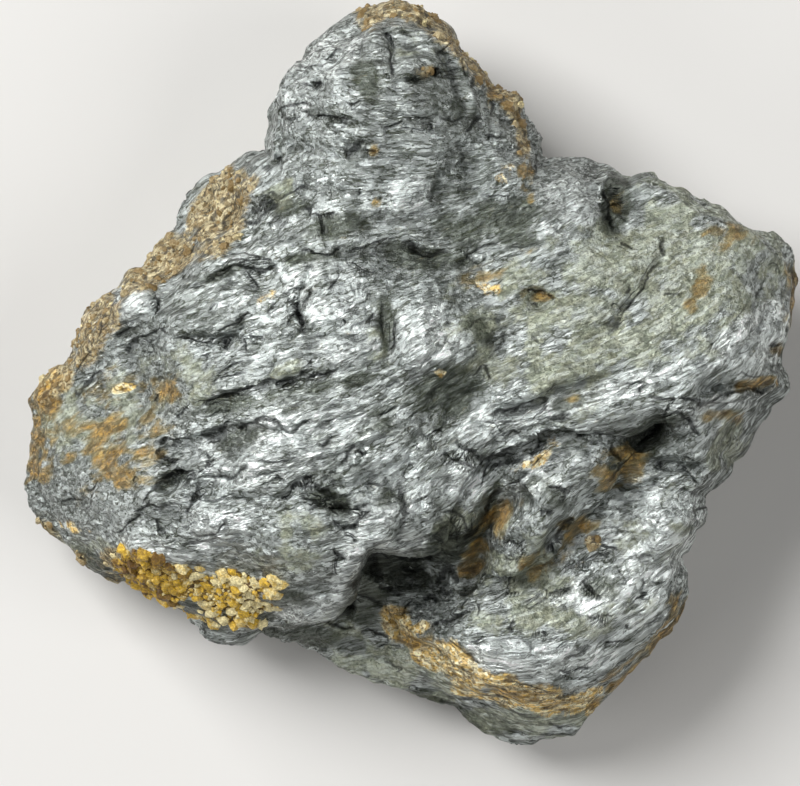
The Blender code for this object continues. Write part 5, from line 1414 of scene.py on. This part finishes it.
# %% All patterns by name
def stone_patterns(tree):
    """What the mesh keeps, the frayed zones and the patterns of leaf and grain, each under its name."""
    kept = {name: add(tree, "ShaderNodeAttribute", {"attribute_name": name}).outputs["Fac"]
            for name in ("crest", "groove", "side", "tone", "flank", *ZONES)}
    flow_at = add(tree, "ShaderNodeAttribute", {"attribute_name": "flow"}).outputs["Vector"]
    place = in_mm(tree)
    lumpy = add(tree, "ShaderNodeTexNoise", Vector=place, Scale=0.9, Detail=3.5, Roughness=0.72)
    stretched = vector_node(tree, "MULTIPLY", flow_at, (0.55, 1.5, 1.2))
    leafy = add(tree, "ShaderNodeTexNoise", Vector=stretched, Scale=1.0, Detail=4.0, Roughness=0.72)
    noise = {"lumpy": lumpy.outputs["Fac"], "leafy": leafy.outputs["Fac"]}
    cells = use(tree, tilted_plates, Flow=place, Run=0.42, Spacing=0.42, Sway=0.9)
    moved = [vector_node(tree, "ADD", place, shift) for shift in ((9, 4, 2), (3, 8, 1))]
    small_pits = use(tree, speckle, Place=moved[0], Size=0.30, Cut=0.60, Soft=0.06)["Mask"]
    large_pits = use(tree, speckle, Place=moved[1], Size=0.9, Cut=0.60, Soft=0.07)["Mask"]
    off = math_node(tree, "SUBTRACT", noise["lumpy"], 0.5)
    off = math_node(tree, "ABSOLUTE", math_node(tree, "MULTIPLY_ADD", off, GROOVE_TEAR, kept["side"]))
    off = grade(tree, off, 0.15, 1.15, 1.0, 0.0)
    broad = add(tree, "ShaderNodeTexNoise", Vector=flow_at, Scale=0.13, Detail=2.0, Roughness=0.5)
    return SimpleNamespace(
        kept=kept, zone=fray(tree, kept, noise), lumpy=noise["lumpy"],
        plates=use(tree, tilted_plates, Flow=flow_at, Run=3.4, Spacing=0.95, Sway=1.3),
        small_plates=use(tree, tilted_plates, Flow=flow_at, Run=1.5, Spacing=0.42, Sway=1.1),
        folds=use(tree, wrinkles, Flow=flow_at, Run=2.8, Spacing=0.55),
        small_folds=use(tree, wrinkles, Flow=flow_at, Run=0.85, Spacing=0.20),
        lines=use(tree, grain_lines, Flow=flow_at, Run=3.6, Spacing=0.42),
        cells=cells, grains=grade(tree, cells["Shade"], 0.25, 0.75),
        fine_grains=use(tree, speckle, Place=place, Size=0.15, Cut=0.5, Soft=0.08)["Mask"],
        pits=math_node(tree, "MAXIMUM", small_pits, large_pits),
        patches=use(tree, speckle, Place=place, Size=1.6, Cut=0.5, Soft=0.15)["Mask"],
        cut=math_node(tree, "MULTIPLY", off, grade(tree, kept["groove"], 0.05, 0.75)),
        calm=grade(tree, broad.outputs["Fac"], 0.40, 0.60, 0.7, 1.2))


# %% [markdown]
# ### Colour of graphite and matrix
# Bare graphite is a grey metal. Silver is painted highlight on fold crests, near black is painted shade,
# facets are painted paler or darker as they lean to or from the light, and creases get painted shade.
# The matrix is a dull grey-green rock of small grains, and graphite plates show through it.

# %% Graphite and matrix
SHADE_ZONE_SHARE = 0.84
CREASE_SHADE_SHARE = 0.90
PIT_SHARE = 0.55


def graphite_colour(tree, made):
    """Dim to plain grey by plate, then painted highlight, painted shade, painted light and shade by the lean
    of facets, and painted shade in creases.
    """
    shade, height = made.small_plates["Shade"], made.folds["Height"]
    metal = mixed(tree, shade, GRAPHITE_DIM, GRAPHITE)
    # painted highlight: silver on the fold crests of the highlight zone
    silver_highlight = math_node(tree, "MULTIPLY", made.zone["painted_highlight"], grade(tree, height, 0.40, 0.60, 0.42, 0.95))
    metal = mixed(tree, silver_highlight, metal, HIGHLIGHT_SILVER)
    # painted shade: near black in the shade zone
    metal = mixed(tree, math_node(tree, "MULTIPLY", made.zone["painted_shade"], SHADE_ZONE_SHARE), metal, GRAPHITE_SHADE)
    # painted light and shade: facets that lean to the light paler, those that lean away darker
    metal = mixed(tree, grade(tree, made.kept["tone"], 0.55, 0.95, 0.0, 0.5), metal, GRAPHITE)
    metal = mixed(tree, grade(tree, made.kept["tone"], 0.05, 0.45, 0.5, 0.0), metal, GRAPHITE_SHADE)
    # painted shade in the creases between plates, in the fold troughs, less in the highlight zone
    crease = math_node(tree, "MAXIMUM", grade(tree, made.plates["Edge"], 0.0, 0.08, 1.0, 0.0),
                       grade(tree, made.small_plates["Edge"], 0.0, 0.12, 0.75, 0.0))
    crease = math_node(tree, "MULTIPLY", crease, grade(tree, height, 0.58, 0.46))
    crease_shade = math_node(tree, "MULTIPLY_ADD", made.zone["painted_highlight"], -0.25, CREASE_SHADE_SHARE)
    return mixed(tree, math_node(tree, "MULTIPLY", crease, crease_shade), metal, MATRIX_DARK)


def matrix_colour(tree, made):
    """Grains between plain and pale, with olive patches, dark pits and painted shade in the shade zone."""
    dull = mixed(tree, grade(tree, made.cells["Shade"], 0.0, 1.0, 0.15, 0.75), MATRIX, MATRIX_PALE)
    dull = mixed(tree, math_node(tree, "MULTIPLY", made.patches, 0.3), dull, OLIVE)
    dull = mixed(tree, math_node(tree, "MULTIPLY", made.pits, PIT_SHARE), dull, MATRIX_DARK)
    # painted shade on the matrix in the shade zone
    return mixed(tree, math_node(tree, "MULTIPLY", made.zone["painted_shade"], 0.7), dull, MATRIX_DARK)


# %% [markdown]
# ### Rust, crusts and vein
# Iron in the rock rusts where water gets in: first a thin brown stain, then rust in shades from dark to
# pale orange. The crusts and the vein are grains with dark pits. They are laid over the graphite one
# after the other, as they grew, each with the share that it covers.

# %% Colour of the stone
STAIN_SHARE = 0.70
CRUST_SHARE = 0.9
RUST_SHARE = 0.66
CRUST_PITS = 0.85


def stone_colour(tree, made):
    """Graphite, and over it matrix, stain, vein, brown crust, ochre crust and rust, then painted shade in
    the crust's hollows.
    """
    shade = made.small_plates["Shade"]
    cover = math_node(tree, "MULTIPLY", made.zone["matrix"], grade(tree, shade, 0.0, 0.9, 0.95, 0.5))
    colour = mixed(tree, cover, graphite_colour(tree, made), matrix_colour(tree, made))
    colour = mixed(tree, math_node(tree, "MULTIPLY", made.zone["stain"], STAIN_SHARE), colour, STAIN)
    rust = mixed(tree, grade(tree, made.lumpy, 0.36, 0.50), RUST, RUST_HOT)
    rust = mixed(tree, grade(tree, made.lumpy, 0.54, 0.66), rust, RUST_PALE)
    rust = mixed(tree, grade(tree, shade, 0.1, 0.65, 0.75, 0.0), rust, RUST_DARK)
    for name, share, layer, darkest in (
            ("vein", CRUST_SHARE, mixed(tree, made.grains, VEIN, VEIN_PALE), VEIN_DARK),
            ("brown", CRUST_SHARE, mixed(tree, made.grains, BROWN, BROWN_PALE), BROWN_DARK),
            ("crust", CRUST_SHARE, mixed(tree, made.grains, CRUST_DARK, CRUST), CRUST_DARK),
            ("rust", RUST_SHARE, rust, RUST_DARK)):
        layer = mixed(tree, math_node(tree, "MULTIPLY", made.pits, CRUST_PITS), layer, darkest)
        colour = mixed(tree, math_node(tree, "MULTIPLY", made.zone[name], share), colour, layer)
    # painted shade in the hollows between the crust's lumps
    crust_hollow_shade = grade(tree, made.kept["crest"], 0.25, 0.55, 0.85, 0.0)
    return mixed(tree, math_node(tree, "MULTIPLY", made.zone["crust"], crust_hollow_shade), colour, CRUST_DARK)


# %% [markdown]
# ### Painted shade and fine relief
# Hollows, grooves and fold troughs get painted shade, steep flanks are painted darker, and each leaf is a
# little duller or brighter than the next at random. What is finer than the mesh's cells is bump: plates,
# folds and lines where the graphite is bare, grains and pits where it is covered, and groove bottoms.

# %% Painted shade and fine relief
GROOVE_SHADE = 0.76
LEAF_RELIEF = (("plates", 1.45), ("small_plates", 0.85), ("folds", 0.90), ("small_folds", 1.05),
               ("lines", 0.30))
CELL_RELIEF = 0.9
PIT_RELIEF = -0.35
GRAIN_RELIEF = 0.13
BUMP_DEPTH = 0.17


def shade_factor(tree, made):
    """Painted shade: 1 in the open, less in hollows, grooves, fold troughs and on steep flanks, varied from
    leaf to leaf.
    """
    shade, height = made.small_plates["Shade"], made.folds["Height"]
    # painted shade in hollows and in grooves
    shade_and_tone = grade(tree, made.kept["crest"], 0.05, 0.45, 0.7, 1.0)
    shade_and_tone = math_node(tree, "MULTIPLY", shade_and_tone, math_node(tree, "MULTIPLY_ADD", made.cut, -GROOVE_SHADE, 1.0))
    # painted shade in the fold troughs, and random tone from plate to plate
    leaf = math_node(tree, "MULTIPLY", grade(tree, height, 0.36, 0.62, 0.80, 1.12),
                     grade(tree, shade, 0.0, 1.0, 0.86, 1.12))
    shade_and_tone = math_node(tree, "MULTIPLY", shade_and_tone, leaf)
    # painted shade on steep flanks, deepest in the fold troughs
    flank_shade = math_node(tree, "MULTIPLY", grade(tree, height, 0.38, 0.60, 0.55, 0.95),
                       grade(tree, shade, 0.0, 1.0, 0.85, 1.05))
    flank_shade = math_node(tree, "SUBTRACT", flank_shade, 1.0)
    flank_shade = math_node(tree, "MULTIPLY_ADD", made.kept["flank"], flank_shade, 1.0)
    return math_node(tree, "MULTIPLY", shade_and_tone, flank_shade)

# %% Bump of the stone
def stone_bump(tree, made, earthy, bare):
    """Normals from the sum of leaf relief times the bare share, grain relief times the rest, and grooves."""
    relief = 0.0
    for name, share in LEAF_RELIEF:
        relief = math_node(tree, "MULTIPLY_ADD", getattr(made, name)["Height"], share, relief)
    relief = math_node(tree, "MULTIPLY", relief, math_node(tree, "MULTIPLY", bare, made.calm))
    relief = math_node(tree, "MULTIPLY_ADD", made.cut, -1.0, relief)
    dull = math_node(tree, "ADD", earthy, made.zone["matrix"])
    for height, share in ((made.cells["Height"], CELL_RELIEF), (made.pits, PIT_RELIEF)):
        relief = math_node(tree, "MULTIPLY_ADD", math_node(tree, "MULTIPLY", height, dull), share, relief)
    relief = math_node(tree, "MULTIPLY_ADD", made.fine_grains, GRAIN_RELIEF, relief)
    return add(tree, "ShaderNodeBump", Height=relief, Strength=1.0, Distance=BUMP_DEPTH * MM).outputs[0]


# %% [markdown]
# ### Put together
# Graphite is nearly a metal, so bare graphite gets a high metal share and a middling roughness. Matrix,
# rust and crusts take the metal away and scatter the light more widely.

# %% Stone material
def stone_material():
    """Graphite, matrix, rust, crust and vein, mixed by the zones kept on the mesh."""
    material = bpy.data.materials.new("graphite stone")
    material.use_nodes = True
    tree = material.node_tree
    shader = tree.nodes["Principled BSDF"]
    made = stone_patterns(tree)
    shade_and_tone = shade_factor(tree, made)
    shade_and_tone = add(tree, "ShaderNodeCombineXYZ", X=shade_and_tone, Y=shade_and_tone, Z=shade_and_tone).outputs[0]
    # the base colour times painted shade and random tone
    colour = vector_node(tree, "MULTIPLY", stone_colour(tree, made), shade_and_tone)
    tree.links.new(colour, shader.inputs["Base Color"])

    earthy = math_node(tree, "MAXIMUM", made.zone["brown"], made.zone["vein"])
    earthy = math_node(tree, "MAXIMUM", made.zone["crust"], earthy)
    bare = math_node(tree, "MULTIPLY_ADD", earthy, -0.9, 1.0)
    shine = math_node(tree, "MULTIPLY", bare, grade(tree, made.zone["rust"], 0.0, 1.0, 1.0, 0.35))
    metal = math_node(tree, "MULTIPLY_ADD", made.zone["matrix"], -0.40, 0.95)
    tree.links.new(math_node(tree, "MULTIPLY", shine, metal), shader.inputs["Metallic"])
    shader.inputs["Specular IOR Level"].default_value = 0.3
    gloss = math_node(tree, "MULTIPLY_ADD", made.zone["matrix"], 0.12, 0.31)
    gloss = math_node(tree, "MULTIPLY_ADD", made.zone["painted_highlight"], -0.03, gloss)
    rougher = math_node(tree, "MULTIPLY_ADD", made.zone["rust"], 0.35, earthy)
    gloss = math_node(tree, "MULTIPLY_ADD", rougher, 0.22, gloss)
    gloss = math_node(tree, "MULTIPLY_ADD", made.fine_grains, 0.10, gloss)
    tree.links.new(gloss, shader.inputs["Roughness"])
    tree.links.new(stone_bump(tree, made, earthy, bare), shader.inputs["Normal"])
    return material


mesh.materials.append(stone_material())
print("nodes of the stone's material:", len(mesh.materials[0].node_tree.nodes))

# %% [markdown]
# ## Grains of the crust
# The ochre crust is a heap of rounded grains about a millimetre across, grown on the stone. Instances
# of one grain would be alike, so each is a small ball of 54 faces with a shape of its own, sunk partly
# into the surface where the crust zone is strong, and all are one mesh. Grains are laid down in five
# sizes, the largest first, and each keeps clear of those that are there already.

# %% Crust grains
GRAIN_SIZES = (0.85, 0.62, 0.45, 0.32, 0.22)
GRAIN_GAP = 0.62
GRAIN_SINK = -0.45
GRAIN_BUMPS = 0.42
GOLD_START = (140, 575)
GOLD_END = (225, 600)
PALER_SHARE = 0.6
BROWN_GRAINS = 0.45
BROWN_GRAIN_SIZE = 0.62


def round_cube():
    """A cube with each side cut in nine, its points pushed out to radius 1: 56 points and 54 faces."""
    ticks = np.linspace(-1, 1, 4)
    at = np.stack(np.meshgrid(ticks, ticks, ticks, indexing="ij"), axis=-1).reshape(-1, 3)
    number = np.arange(64).reshape(4, 4, 4)
    quads = []
    for axis in range(3):
        for side in (0, 3):
            grid = number.take(side, axis=axis)
            grid = grid.T if (side == 0) != (axis == 1) else grid
            quads.append(np.stack([grid[:-1, :-1], grid[1:, :-1], grid[1:, 1:], grid[:-1, 1:]], axis=-1))
    used, quads = np.unique(np.concatenate(quads), return_inverse=True)
    at = at[used]
    return at / np.linalg.norm(at, axis=1, keepdims=True), quads.reshape(-1, 4)

# %% Places of the grains
def lay_grains(share, rng):
    """Places and radii of grains: random points of the stone, clear of larger grains and of luckier ones."""
    seats, radii = np.zeros(0, int), np.zeros(0)
    for size in GRAIN_SIZES:
        tried = np.flatnonzero(share > rng.uniform(0.45, 0.9, len(share)))
        luck = rng.permutation(len(tried))
        radius = size * rng.uniform(0.85, 1.2, len(tried))
        gap = np.linalg.norm(stone[tried][:, None] - stone[tried][None], axis=2)
        beaten = (gap < GRAIN_GAP * (radius[:, None] + radius[None])) & (luck[:, None] > luck[None])
        free = ~beaten.any(axis=1)
        if len(seats):
            gap = np.linalg.norm(stone[tried][:, None] - stone[seats][None], axis=2)
            free &= ~(gap < GRAIN_GAP * (radius[:, None] + radii[None])).any(axis=1)
        seats, radii = np.concatenate([seats, tried[free]]), np.concatenate([radii, radius[free]])
    return seats, radii

# %% Mesh of the grains
def grain_mesh(name, seats, radii, tint, earth, rng):
    """All grains as one mesh: each a ball turned at random, stretched a little and made uneven by noise."""
    ball, quads = round_cube()
    count = len(seats)
    turns = np.linalg.qr(rng.normal(size=(count, 3, 3)))[0]
    turns *= np.sign(np.linalg.det(turns))[:, None, None]
    shape = (ball[None] * rng.uniform(0.7, 1.25, (count, 1, 3))) @ turns
    centre = stone[seats] + grid_normals(smoothed)[seats] * (radii * GRAIN_SINK)[:, None]
    lumps = rough(detail, (centre[:, None] * 3 + shape * 1.5).reshape(-1, 3), 3)
    uneven = 1 + GRAIN_BUMPS * lumps.reshape(count, -1, 1)
    points = centre[:, None] + shape * uneven * radii[:, None, None]
    faces = quads[None] + len(ball) * np.arange(count)[:, None, None]
    grains = bpy.data.meshes.new(name)
    grains.from_pydata((points.reshape(-1, 3) * MM).tolist(), [], faces.reshape(-1, 4).tolist())
    grains.polygons.foreach_set("use_smooth", np.ones(len(grains.polygons), bool))
    grains.set_sharp_from_angle(angle=math.radians(38))
    for label, values in {"tint": tint, "earth": earth}.items():
        grains.attributes.new(label, "FLOAT", "POINT").data.foreach_set(
            "value", np.repeat(values, len(ball)).astype(np.float32))
    return grains

# %% Crust material
def crust_material():
    """Ochre grains from brown through gold to cream, chosen by the tint kept on each grain."""
    material = bpy.data.materials.new("crust grains")
    material.use_nodes = True
    tree = material.node_tree
    shader = tree.nodes["Principled BSDF"]
    tint = add(tree, "ShaderNodeAttribute", {"attribute_name": "tint"}).outputs["Fac"]
    earth = add(tree, "ShaderNodeAttribute", {"attribute_name": "earth"}).outputs["Fac"]
    place = in_mm(tree)
    mottle = add(tree, "ShaderNodeTexNoise", Vector=place, Scale=2.2, Detail=3.0, Roughness=0.65)
    mottle = mottle.outputs["Fac"]
    varied = math_node(tree, "MULTIPLY_ADD", math_node(tree, "SUBTRACT", mottle, 0.5), 1.1, tint)
    gold = mixed(tree, grade(tree, varied, -0.05, 0.5), CRUST_DARK, CRUST)
    gold = mixed(tree, grade(tree, varied, 0.55, 1.0), gold, CRUST_PALE)
    soil = mixed(tree, grade(tree, varied, 0.2, 0.8), BROWN, BROWN_PALE)
    soil = mixed(tree, grade(tree, varied, 0.8, 1.0), soil, CRUST_PALE)
    colour = mixed(tree, earth, gold, soil)
    fine = use(tree, speckle, Place=place, Size=0.22, Cut=0.46, Soft=0.12)["Mask"]
    colour = mixed(tree, math_node(tree, "MULTIPLY", fine, 0.45), colour, CRUST_DARK)
    tree.links.new(colour, shader.inputs["Base Color"])
    shader.inputs["Roughness"].default_value = 0.42
    rugged = use(tree, speckle, Place=place, Size=0.14, Cut=0.5, Soft=0.2)["Mask"]
    height = math_node(tree, "MULTIPLY_ADD", mottle, 1.5, rugged)
    bump = add(tree, "ShaderNodeBump", Height=height, Strength=0.7, Distance=0.08 * MM)
    tree.links.new(bump.outputs[0], shader.inputs["Normal"])
    return material

# %% Grains on the stone
lots = np.random.default_rng(5)
seats, radii = lay_grains(ZONES["crust"], lots)
paler = smooth_step(stone[seats, 0], *plan([GOLD_START, GOLD_END])[:, 0])
tint = lots.beta(1.1, 1.1, len(seats)) + PALER_SHARE * paler - 0.2
crust_seats, crust_radii = lay_grains(ZONES["brown"] - 0.1, lots)
chosen = lots.uniform(size=len(crust_seats)) < BROWN_GRAINS
seats = np.concatenate([seats, crust_seats[chosen]])
radii = np.concatenate([radii, BROWN_GRAIN_SIZE * crust_radii[chosen]])
tint = np.concatenate([tint, lots.beta(0.9, 1.2, chosen.sum())])
earth = np.repeat([0.0, 1.0], [len(radii) - chosen.sum(), chosen.sum()])
inside = np.all((stone[seats] - radii[:, None] > low) & (stone[seats] + radii[:, None] < high), axis=1)
grains = grain_mesh("crust_grains", *(values[inside] for values in (seats, radii, tint, earth)), lots)
grains = bpy.data.objects.new("crust_grains", grains)
grains.data.materials.append(crust_material())
scene.collection.objects.link(grains)
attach(grains, "root")
print("crust grains:", inside.sum())

# %% [markdown]
# ## Boxes before and after
# The finished stone has to fill the same box as the imported one.

# %% Finish
box_after = [list(corner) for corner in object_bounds()]
for corners in (box_before, box_after):
    print("box in mm:", np.round(np.array(corners) / MM, 2).tolist())
